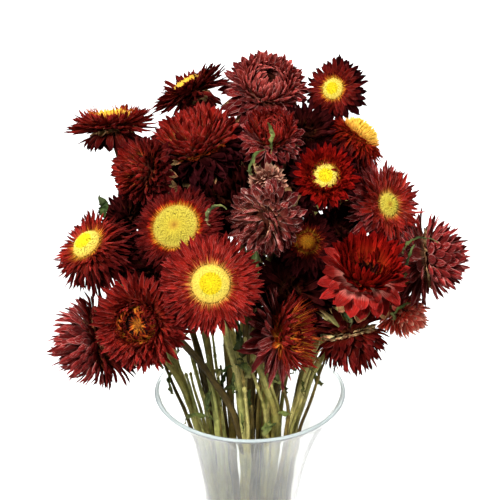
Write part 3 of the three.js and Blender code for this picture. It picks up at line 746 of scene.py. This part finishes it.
# How the whorls of a form change from the back of a head to its middle: angles in degrees, reach as a
# share of the spread, seat as shares of the core's radius and depth, width in mm at the usual spread.
openSeat = {"seat": (0.46, 0.68, 0.84, 0.96, 1.0), "depth": (0.84, 0.5, 0.28, 0.08, 0.0)}
closedSeat = {"seat": (0.6, 0.8, 1.0, 0.84, 0.14), "depth": (0.8, 0.5, 0.2, -0.32, -0.72)}
forms = {
    "open": dict(openSeat, root=(-62, -26, -8, 8, 22), bend=(-8, -8, 0, 2, 4),
        reach=(0.5, 0.96, 1.0, 0.84, 0.52), width=(5.0, 3.8, 3.4, 3.0, 1.8)),
    "bowl": dict(openSeat, root=(-56, -16, 8, 34, 60), bend=(-8, 0, 10, 26, 40),
        reach=(0.5, 0.98, 1.0, 0.86, 0.6), width=(5.5, 4.4, 3.8, 3.2, 2.2)),
    "cap": dict(openSeat, root=(-82, -62, -42, -18, 10), bend=(-4, -4, -2, 2, 14),
        reach=(0.6, 0.94, 1.0, 0.95, 0.68), width=(5.0, 4.2, 3.6, 3.0, 2.0)),
    "cup": dict(closedSeat, root=(-38, -10, 16, 44, 74), bend=(-8, 0, 12, 26, 30),
        reach=(0.8, 1.0, 1.0, 0.88, 0.42), width=(6.5, 6.0, 5.4, 4.4, 2.8)),
    "lily": dict(root=(-46, -26, 36, 50, 60), bend=(8, 6, 16, 20, 24), reach=(0.9, 1.0, 1.0, 0.92, 0.84),
        width=(8.4, 8.8, 5.4, 3.8, 2.6), seat=(0.7, 0.85, 1.0, 1.0, 0.9), depth=(0.6, 0.4, 0.2, 0.0, -0.1)),
    "rosette": dict(root=(-40, -6, 26, 56, 76), bend=(10, 12, 34, 62, 80), reach=(1.0, 1.0, 0.94, 0.82, 0.6),
        width=(6.5, 6.0, 5.0, 4.2, 3.4), seat=(0.6, 0.9, 1.0, 0.88, 0.68), depth=(0.8, 0.4, 0.1, -0.2, -0.4)),
    "globe": dict(closedSeat, root=(-48, -16, 10, 46, 76), bend=(10, 22, 44, 56, 60),
        reach=(0.8, 1.0, 1.0, 0.86, 0.4), width=(6.0, 5.6, 5.2, 4.2, 2.8)),
    "pompon": dict(closedSeat, root=(-74, -48, -14, 30, 72), bend=(44, 52, 52, 44, 34),
        reach=(0.82, 0.98, 1.0, 0.92, 0.68), width=(5.8, 5.4, 5.0, 4.4, 3.2)),
}
# Paint, count, seat share, length share, lift and bend of the rows in a sunken heart.
starRows = [("bristles", 16, 0.04, 0.62, 34, -50), ("bristles", 12, 0.03, 0.46, 56, -60),
            ("dark", 34, 0.72, 0.5, 62, 50), ("dark", 34, 0.86, 0.62, 66, 64)]
# Paint, seat share, length share and lift of the rows that line the hollow of a wide cup.
hollowRows = [("vivid", 0.8, 0.42, 60), ("vivid", 0.6, 0.32, 64),
              ("shadow", 0.4, 0.24, 70), ("shadow", 0.2, 0.18, 80)]
bristleLift = {"open": 14, "bowl": 48, "cap": 4}
brownHearts = ("rust", "ember")
core = {
    "closedSeat": {"cup": 0.36, "lily": 0.36, "rosette": 0.42, "globe": 0.42, "pompon": 0.48},
    "rimPastDisc": 1.2,
    "leastDepth": 3,
    "depthShare": 0.22,
    "sides": 20,
    "open": [(0, 1), (0.3, 1), (0.58, 0.66), (0.82, 0.32), (0.96, 0.03), (0.9, -0.02), (0, -0.02)],
    "closed": [(0, 1), (0.42, 1), (0.72, 0.66), (1, 0.2), (0.86, -0.32), (0.42, -0.62), (0, -0.8)],
}
whorl = {
    "usualSpread": 24,
    "leastCount": 6,
    "sunk": 0.8,  # mm of a bract inside the core
    "bendShare": 0.85,
    "wideFrom": 4,  # mm
    "scaleLength": 0.42,
    "ruffle": 0.0022,
}


def depthOf(bloom):
    return core["leastDepth"] + bloom["spread"] * core["depthShare"]


def seatOf(bloom):
    if "disc" in bloom:
        return bloom["disc"] + core["rimPastDisc"]
    return bloom["spread"] * bloom.get("core", core["closedSeat"][bloom["form"]])


def turnOf(bloom):
    turn = Vector((0, 0, 1)).rotation_difference(directionOf(*bloom["faces"]))
    return Matrix.Translation(Vector(bloom["at"]) * mm) @ turn.to_matrix().to_4x4()


# The value at a share of the way through a list.
def between(share, values):
    last = len(values) - 1
    return float(np.interp(share * last, range(last + 1), values))


def whorlValues(bloom, row, rows):
    share = row / (rows - 1)
    now = {key: between(share, values) for key, values in forms[bloom["form"]].items()}
    root = math.radians(now["root"] + bloom.get("lean", 0) * share)
    seat = seatOf(bloom) * now["seat"]
    narrow, stretch = [between(share, bloom.get(key, (1, 1))) for key in ("narrow", "stretch")]
    length = bloom["spread"] * now["reach"] * stretch - seat * math.cos(root)
    width = now["width"] * min(1.1, max(0.75, bloom["spread"] / whorl["usualSpread"])) * narrow
    middle = seat + 0.5 * length * math.cos(root)
    mess = bloom.get("mess", 0.11)
    short = whorl["scaleLength"] if row and row in bloom.get("scales", ()) else 1
    count = round(bloom.get("dense", 1) * 2 * math.pi * middle / width)
    return dict(
        count=max(whorl["leastCount"], count), sides=6 if width > whorl["wideFrom"] else 4, segments=5,
        seatRadius=(seat - whorl["sunk"] * math.cos(root)) * mm,
        seatHeight=-depthOf(bloom) * now["depth"] * mm,
        length=length * short * mm, lengthSpread=0.08 + mess * 0.5,
        rootAngle=root, bend=math.radians(now["bend"]) * whorl["bendShare"], angleSpread=mess,
        width=width * mm, hook=bloom.get("hook", 0.08), turn=row * 0.5,
        sway=mess * 0.6, ruffle=0.00008 + whorl["ruffle"] * mess, row=share,
    )


def addWhorl(obj, material, seed, **values):
    addTree(obj, whorlTree, seed=seed, material=bractMaterials[material], **values)


# Golden bristles round the disc, and for some heads bracts that curl in over it.
def addEdge(obj, bloom, seed):
    seat = seatOf(bloom)
    addWhorl(
        obj, "bristles", seed + 30, count=round(seat * 9), segments=3,
        seatRadius=(seat - 1.4) * mm, seatHeight=0.2 * mm,
        length=bloom["spread"] * bloom.get("bristle", 0.2) * mm, lengthSpread=0.3,
        rootAngle=math.radians(bristleLift[bloom["form"]]), bend=0.2, angleSpread=0.14,
        width=0.55 * mm, point=1.5, row=0.0 if bloom["shade"] == "red" and bloom["form"] == "open" else 0.9,
    )
    if "over" in bloom:
        addWhorl(
            obj, "bristles" if bloom["heart"] in brownHearts else bloom["shade"], seed + 32,
            count=bloom["over"], seatRadius=(seat - 0.8) * mm,
            length=seat * (1.05 if bloom["heart"] == "rust" else 0.62) * mm, lengthSpread=0.35,
            rootAngle=1.0, bend=1.5, angleSpread=0.3, width=1.3 * mm, row=0.8,
        )


# A sunken heart: strands spread from its middle, and small dark bracts round it.
def addStar(obj, bloom, seed):
    seat = seatOf(bloom)
    for row, (material, count, share, length, lift, bend) in enumerate(starRows):
        addWhorl(
            obj, material, seed + 34 + row, count=count, segments=4,
            seatRadius=seat * share * mm, seatHeight=1.6 * mm, length=seat * length * mm, lengthSpread=0.35,
            rootAngle=math.radians(lift), bend=math.radians(bend), angleSpread=0.24,
            width=(0.9 if material == "bristles" else 1.8) * mm, row=0.95,
        )


def addHollow(obj, bloom, seed):
    seat = seatOf(bloom)
    for row, (material, share, length, lift) in enumerate(hollowRows):
        addWhorl(
            obj, material, seed + 30 + row, count=round(2 * math.pi * seat * share / 1.5),
            seatRadius=seat * share * mm, length=bloom["spread"] * length * mm, lengthSpread=0.2,
            rootAngle=math.radians(lift), bend=0.3, angleSpread=0.2, width=2.2 * mm, row=0.5,
        )


def makeBloom(name, bloom, seed):
    hollow = bloom["form"] == "lily"
    key = "open" if "disc" in bloom or hollow else "closed"
    seat, depth = seatOf(bloom), depthOf(bloom)
    profile = [(share * seat * mm, -down * depth * mm) for share, down in core[key]]
    obj = newObject("strawflower" + name, latheMesh("core" + name, profile, core["sides"]))
    obj.data.materials.append(coreMaterial)
    paint = bloom.get("paint", bloom["shade"])
    inner = bloom.get("inner", paint)
    rows = bloom.get("rows", 12)
    for row in range(rows):
        ownPaint = inner if row >= rows * bloom.get("innerFrom", 0.5) else paint
        if row in bloom.get("scales", (0,)):
            ownPaint = bloom.get("seam", "scales") if row else "scales"
        addWhorl(obj, ownPaint, seed + row, **whorlValues(bloom, row, rows))
    if "disc" in bloom:
        addEdge(obj, bloom, seed)
    if bloom.get("heart") == "rust":
        addStar(obj, bloom, seed)
    if hollow:
        addHollow(obj, bloom, seed)
    settle(obj)
    obj.data.transform(turnOf(bloom))
    place(obj, "bracts_" + bloom["shade"], "bloom" + name)


# A disc's dome, in shares of its radius and height, and its florets: plain, and long in a tuft.
dome = {"foot": 0.3, "edge": 0.97, "rings": (0.95, 0.8, 0.55, 0.3, 0)}
plainFloret = {"width": 1.15, "height": 0.9, "taper": 0.1, "splay": 0.4}
tuftFloret = {"width": 0.8, "height": 3.2, "taper": 0.5, "splay": 0.8}


def makeDisc(name, bloom, seed):
    radius, heart = bloom["disc"], bloom["heart"]
    own = tuftFloret if heart == "tuft" else plainFloret
    height = radius * (0.5 if bloom["form"] == "cap" else 0.3)
    foot, edge = dome["foot"], dome["edge"]
    profile = [(0, foot), (radius * edge, foot), (radius * 0.99, foot + 0.2 * height)]
    profile += [(radius * share, foot + height * 0.75 * (1 - share**3)) for share in dome["rings"]]
    mesh = latheMesh("disc" + name, [(r * mm, z * mm) for r, z in profile], core["sides"])
    obj = newObject("florets" + name, mesh)
    obj.data.materials.append(discMaterials[heart])
    spacing = bloom.get("fine", 0.8)
    addTree(
        obj, floretTree, count=round(3.3 * (radius / spacing) ** 2), radius=radius * edge * mm,
        height=height * mm, dimple=0.5 if heart == "straw" else 0.0,
        floretWidth=spacing * own["width"] * mm, floretHeight=own["height"] * mm,
        taper=own["taper"], splay=own["splay"], seed=seed, material=discMaterials[heart],
    )
    settle(obj)
    obj.data.transform(turnOf(bloom))
    place(obj, "disc_orange" if heart in brownHearts else "disc_yellow", "disc" + name)


print("flower heads")
for number, (name, bloom) in enumerate(blooms.items(), 1):
    makeBloom(name, bloom, number * 40)
    if "disc" in bloom:
        makeDisc(name, bloom, number)

# Stalks: bearing and share of the bundle's radius, the heads they carry, fork heights in mm, and one leaf:
# its line, the share along it, bearing and length in mm.
stalks = {
    "Front": dict(slot=(-12, 1), heads=["FrontFull", "LowerLeft"], forks=[176], leaf=(0, 0.5, 25, 20)),
    "Left": dict(slot=(-46, 1), heads=["LeftWide", "UpperLeftLow"], forks=[200], leaf=(0, 0.4, -80, 22)),
    "FarLeft": dict(slot=(-84, 1), mouth=1.75, heads=["LeftSide", "LowFarLeft", "InnerLeft"],
        forks=[186, 214], leaf=(1, 0.4, 0, 24)),
    "BackLeft": dict(slot=(-122, 1), heads=["FarLeft", "BehindLeft"], forks=[214], leaf=(0, 0.5, -60, 22)),
    "Low": dict(slot=(28, 1), heads=["LowCentre"], forks=[], leaf=(0, 0.4, -20, 22)),
    "Right": dict(slot=(58, 1), heads=["LowRight", "RightSmall", "ShadeMid"], forks=[182, 204],
        leaf=(1, 0.5, 20, 20)),
    "FarRight": dict(slot=(95, 1), heads=["RightWide", "RightGlobe"], forks=[192], leaf=(1, 0.6, 40, 20)),
    "BackRight": dict(slot=(140, 1), heads=["BackRight"], forks=[], leaf=(0, 0.5, 90, 22)),
    "Rear": dict(slot=(186, 1), heads=["BackLeft"], forks=[], leaf=(0, 0.5, 180, 22)),
    "Bright": dict(slot=(60, 0.42), heads=["CentreRight", "RightBright", "InnerRight", "ShadeRight"],
        forks=[186, 236, 262]),
    "Tall": dict(slot=(126, 0.42), heads=["TopRight", "TopCap", "BehindRight"], forks=[236, 212]),
    "Top": dict(slot=(190, 0.42), heads=["TopGlobe", "BackMid", "ShadeCentre"], forks=[204, 226]),
    "TopLeft": dict(slot=(-104, 0.42), heads=["TopLeft", "UpperLeftBig"], forks=[232]),
    "Middle": dict(slot=(0, 0), heads=["UpperCentre", "ShadeLeft", "SmallPale", "PaleCentre"],
        forks=[240, 262, 216]),
}
bundle = {"waist": 17.6, "foot": 1.3, "mouth": 1.45, "waistHeight": 112, "mouthHeight": 188, "twist": 18,
          "floor": 12.3}
stalkSize = {"foot": 2.2, "fork": 1.7, "neck": 1.4, "cup": 3.2, "cupHeight": 4, "neckLength": 16,
             "neckShare": 0.35, "lead": 0.33, "gap": 0.3}

# Small dry leaves near the heads: stalk, place in mm, bearing, length and width in mm, root angle, bend and
# twist in radians, and the colour if it isn't green.
leaves = [
    # this leaf is darkened as painted shade
    ("FarLeft", (-75, -6, 307), 165, 12, 6.5, 1.3, 0.8, 1.2, "deep"),
    ("Middle", (3, -10, 292), 0, 20, 8, -1.3, 0.3, 1.0),
    ("Middle", (9, -4, 300), 40, 22, 8, -1.4, 0.2, 1.4),
    ("Low", (4, -38, 262), 20, 18, 6, -0.6, -1.4, 3.0),
    ("Low", (-4, -40, 258), -30, 16, 6, -1.0, -1.2, 4.0),
    ("Low", (9, -34, 266), 60, 18, 6, -0.8, -1.6, 4.0),
    ("Middle", (9, -13, 363), 160, 22, 3, -0.7, -1.2, 5.0),
    ("Middle", (7, -15, 349), -80, 18, 3, -0.2, -1.8, 6.0),
    ("Middle", (-12, -56, 336), -60, 18, 4, 1.1, -3.4, 0.8, "pale"),
    ("FarRight", (96, -14, 296), -100, 24, 2.6, 0.6, -2.0, 7.0),
    ("FarRight", (84, -16, 296), -60, 20, 3.4, -0.8, -1.0, 6.0),
    ("FarRight", (84, -16, 262), -60, 16, 3, 0.2, -1.4, 6.0),
    ("Bright", (46, -44, 278), 30, 14, 3, -0.3, -1.0, 5.0),
    ("Front", (-8, -42, 268), 30, 20, 5, -0.5, -1.2, 4.0),
    ("Front", (2, -40, 262), 60, 20, 5, -0.2, -1.6, 5.0),
]


# A point of the bundle; spread is a share of its waist, turn a share of its twist.
def bundlePoint(stalk, spread, turn, height):
    bearing, share = stalk["slot"]
    radius = bundle["waist"] * share * spread
    return directionOf(bearing + turn * bundle["twist"], 0) * radius + Vector((0, 0, height))


def lowerLine(stalk):
    foot = bundle["foot"]
    controls = [
        bundlePoint(stalk, foot, -0.8, bundle["floor"]),
        bundlePoint(stalk, (1 + foot) / 2, -0.4, (12 + bundle["waistHeight"]) / 2),
        bundlePoint(stalk, 1, 0, bundle["waistHeight"]),
        bundlePoint(stalk, stalk.get("mouth", bundle["mouth"]), 0.2, bundle["mouthHeight"]),
    ]
    return curveThrough(controls, 4)


# Centripetal Catmull-Rom points through controls.
def curveThrough(controls, steps):
    points = [controls[0] * 2 - controls[1], *controls, controls[-1] * 2 - controls[-2]]
    line = []
    for step in range(steps + 1):
        along = min(step / steps * (len(controls) - 1), len(controls) - 1 - 1e-9)
        first = int(along)
        a, b, c, d = points[first:first + 4]
        spans = [max((q - p).length_squared ** 0.25, 1e-4) for p, q in ((a, b), (b, c), (c, d))]
        leave = ((b - a) / spans[0] - (c - a) / (spans[0] + spans[1]) + (c - b) / spans[1]) * spans[1]
        reach = ((c - b) / spans[1] - (d - b) / (spans[1] + spans[2]) + (d - c) / spans[2]) * spans[1]
        t = along - first
        curve = (b * 2 - c * 2 + leave + reach) * t**3 + (c * 3 - b * 3 - leave * 2 - reach) * t**2
        line.append(curve + leave * t + b)
    return line


def upperLine(start, tangent, bloom, steps):
    axis = directionOf(*bloom["faces"])
    base = Vector(bloom["at"]) - axis * (depthOf(bloom) + stalkSize["gap"])
    cup = base - axis * stalkSize["cupHeight"]
    far = (cup - start).length
    lead = start + tangent * far * stalkSize["lead"]
    behind = cup - axis * min(stalkSize["neckLength"], far * stalkSize["neckShare"])
    line = []
    for step in range(steps + 1):
        t = step / steps
        line.append(start * (1 - t)**3 + lead * 3 * t * (1 - t)**2 + behind * 3 * t**2 * (1 - t) + cup * t**3)
    return [*line, base]


def linesOf(stalk):
    first, *others = [blooms[name] for name in stalk["heads"]]
    lower = lowerLine(stalk)
    rise = (lower[-1] - lower[-2]).normalized()
    main = [*lower, *upperLine(lower[-1], rise, first, 6)[1:]]
    lines = [main]
    for bloom, height in zip(others, stalk["forks"]):
        after, spot = pointAt(main, height)
        tangent = (main[after] - main[after - 1]).normalized()
        lines.append(upperLine(spot, tangent, bloom, 4))
    return lines


def leafValues(spot, bearing, length, width, root, bend, twist, paint="green"):
    return dict(
        count=1, sides=6, segments=16, seatRadius=-0.5 * mm, length=length * mm, lengthSpread=0.0,
        rootAngle=root, bend=bend, angleSpread=0.0, turnSpread=0.0, width=width * mm, baseWidth=0.2,
        point=1.8, cup=0.7, hook=0.0, twist=twist, ruffle=0.002,
        place=spot * mm, facing=(0, 0, math.radians(bearing - 90)), material=leafMaterials[paint],
    )


# The number of the first point above a height, and the line's own point at that height.
def pointAt(line, height):
    after = next(k for k, point in enumerate(line) if point.z >= height)
    share = (height - line[after - 1].z) / (line[after].z - line[after - 1].z)
    return after, line[after - 1].lerp(line[after], share)


# Side shoots that part from a stalk, rise beside it and end broken off.
shoot = {"count": 3, "low": (26, 60), "high": (206, 246), "offset": (3, 10), "radii": (2.3, 0.9), "side": 130,
         "steps": 5}


def shootsOf(main, bearing, draw):
    shoots = []
    for _ in range(shoot["count"]):
        low = draw.uniform(*shoot["low"])
        high = draw.uniform(*shoot["high"])
        side = bearing + draw.uniform(-shoot["side"], shoot["side"])
        lean = directionOf(side, 0) * draw.uniform(*shoot["offset"])
        steps = shoot["steps"]
        spots = [pointAt(main, low + (high - low) * k / steps)[1] for k in range(steps + 1)]
        shoots.append([spot + lean * (k / steps)**1.3 for k, spot in enumerate(spots)])
    return shoots


# Dried leaves that hang crumpled along a stalk: mm, degrees to the side, and radians.
litter = {"count": 3, "height": (196, 236), "length": (10, 20), "width": (2.4, 4.2), "side": (-70, 70),
          "root": (-0.9, 1.1), "bend": (-2.8, -0.8), "twist": (2.5, 6)}


def addLitter(obj, main, bearing, draw):
    for _ in range(litter["count"]):
        keys = ("height", "length", "width", "root", "bend", "twist", "side")
        height, length, width, root, bend, twist, side = [draw.uniform(*litter[key]) for key in keys]
        values = leafValues(pointAt(main, height)[1], bearing + side, length, width, root, bend, twist)
        addTree(obj, whorlTree, **values, seed=draw.randrange(1000))


def makeStalk(name, stalk, seed):
    draw = random.Random(seed)
    bearing = stalk["slot"][0]
    lines = linesOf(stalk)
    full = len(lines)
    lines += shootsOf(lines[0], bearing, draw)
    corners, edges, thickness, tones = [], [], [], []
    for k, line in enumerate(lines):
        first = len(corners)
        last = len(line) - 1
        start, end = stalkSize["fork"] if k else stalkSize["foot"], stalkSize["neck"]
        if k >= full:
            start, end = shoot["radii"]
        corners += [point * mm for point in line]
        edges += [(first + i, first + i + 1) for i in range(last)]
        radii = [(start + (end - start) * i / (last - 1)) * mm for i in range(last + 1)]
        if k < full:
            radii[-1] = stalkSize["cup"] * mm
        thickness += radii
        tones += [draw.random()] * len(line)
    mesh = bpy.data.meshes.new("lines" + name)
    mesh.from_pydata(corners, edges, [])
    for key, values in {"thickness": thickness, "tone": tones}.items():
        mesh.attributes.new(key, "FLOAT", "POINT").data.foreach_set("value", values)
    obj = newObject("stalk" + name, mesh)
    addTree(obj, stalkTree, seed=seed, material=stemMaterial)
    if "leaf" in stalk:
        which, share, side, length = stalk["leaf"]
        spot = lines[which][round(share * (len(lines[which]) - 1))]
        values = leafValues(spot, side, length * 1.05, 6, 1.15, -1.8, 1.6)
        addTree(obj, whorlTree, **values, seed=seed)
    for k, (owner, spot, *shape) in enumerate(leaves):
        if owner == name:
            addTree(obj, whorlTree, **leafValues(Vector(spot), *shape), seed=seed + k * 7)
    addLitter(obj, lines[0], bearing, draw)
    settle(obj)
    place(obj, "stems", "stem" + name)


print("stalks and leaves")
for number, (name, stalk) in enumerate(stalks.items(), 1):
    makeStalk(name, stalk, number)

# The vase, in mm: its outline as radius and height.
vase = {
    "wall": 2.1, "floor": 12, "sides": 96, "lip": 1.0, "height": 200, "rimRadius": 51.5,
    "flank": [(33, 30), (28, 70), (25, 112), (28.4, 145), (36, 172), (47, 193)],
    "foot": [(0, 0.6), (26, 0.6), (30, 0), (34.6, 0), (35.6, 0.9)],
    "footTop": (36, 3),
    "flankSteps": 48,
    "insideFrom": 18,
}


def smoothFlank(points, steps):
    controls = [Vector((radius, 0, height)) for radius, height in points]
    return [(point.x, point.z) for point in curveThrough(controls, steps)]


def makeVase():
    keys = ("wall", "height", "rimRadius", "lip", "floor", "insideFrom")
    wall, top, rim, lip, floor, low = [vase[key] for key in keys]
    flank = smoothFlank([vase["footTop"], *vase["flank"], (rim, top - lip)], vase["flankSteps"])
    edge = [(rim - 0.35, top - 0.35), (rim - lip, top), (rim - wall - 0.3, top - 0.5)]
    inside = [(radius - wall, height) for radius, height in reversed(flank) if low < height < top - 4]
    bottom = [(26, floor + 0.6), (22, floor), (0, floor)]
    profile = [(radius * mm, height * mm) for radius, height in vase["foot"] + flank + edge + inside + bottom]
    obj = newObject("glassVase", latheMesh("glassVase", profile, vase["sides"]))
    obj.data.materials.append(glassMaterial)
    obj.data.materials.append(lipMaterial)
    for face in obj.data.polygons:
        if face.center.z > (top - lip * 1.1) * mm:
            face.material_index = 1
    place(obj, "glass", "vase")


print("vase")
makeVase()


# Studio.
def makeFloor():
    mesh = bpy.data.meshes.new("floor")
    far = 6.0
    mesh.from_pydata([(-far, -far, 0), (far, -far, 0), (far, far, 0), (-far, far, 0)], [], [(0, 1, 2, 3)])
    floor = newObject("floor", mesh)
    material, tree = newMaterial("paleFloor")
    shade = rampOf(noiseAt(objectPlace(tree), 2), midNoise, ((860, 860, 860), (900, 900, 900)))
    mesh.materials.append(finished(material, shade, 0.9))


lights = {
    "keyLight": dict(kind="SPOT", spot=(-0.4, -0.85, 1.15), aim=(0, 0, 0.27), width=0.26, power=110),
    "fillLight": dict(kind="SPOT", spot=(0.7, -0.9, 0.7), aim=(0, 0, 0.27), width=0.4, power=34),
    "backLight": dict(kind="AREA", spot=(0.1, 1.3, 1.5), aim=(0, 1.1, 0), width=1.2, power=60),
}
beam = {"angle": 22, "blend": 0.3}


def makeLight(name, kind, spot, aim, width, power):
    light = bpy.data.lights.new(name, kind)
    light.energy = power
    if kind == "AREA":
        light.size = width
    else:
        light.shadow_soft_size = width / 2
        light.spot_size = math.radians(beam["angle"])
        light.spot_blend = beam["blend"]
    obj = newObject(name, light)
    obj.location = spot
    obj.rotation_euler = (Vector(aim) - Vector(spot)).to_track_quat("-Z", "Y").to_euler()


# Bright behind and overhead, dim in front, so that the glass stays clear and the bracts keep their shade.
sky = {
    "places": (0.0, 0.45, 0.7, 1.0),
    "colours": ((160, 160, 160), (260, 280, 290), (800, 800, 800), (1000, 1000, 1000)),
    "strength": 0.55,
}


def makeWorld():
    world = bpy.data.worlds.new("studio")
    world.use_nodes = True
    tree = world.node_tree
    x, y, z = partsOf(outOf(tree, "ShaderNodeTexCoord", output="Generated"))
    background = tree.nodes["Background"].inputs
    feed(tree, background[0], rampOf(y * 0.5 + 0.5, sky["places"], sky["colours"]))
    background[1].default_value = sky["strength"]
    bpy.context.scene.world = world


camera = {"distance": 1.1, "lift": 27.6, "aim": (0, 0, 0.28463), "lens": 152.07, "sensor": 36}


def makeCamera():
    data = bpy.data.cameras.new("camera")
    data.lens = camera["lens"]
    data.sensor_width = camera["sensor"]
    obj = newObject("camera", data)
    back = directionOf(0, camera["lift"])
    obj.location = Vector(camera["aim"]) + back * camera["distance"]
    obj.rotation_euler = (-back).to_track_quat("-Z", "Y").to_euler()
    bpy.context.scene.camera = obj


print("studio")
makeFloor()
makeWorld()
for name, light in lights.items():
    makeLight(name, **light)
makeCamera()
bpy.context.scene.view_settings.view_transform = "Standard"
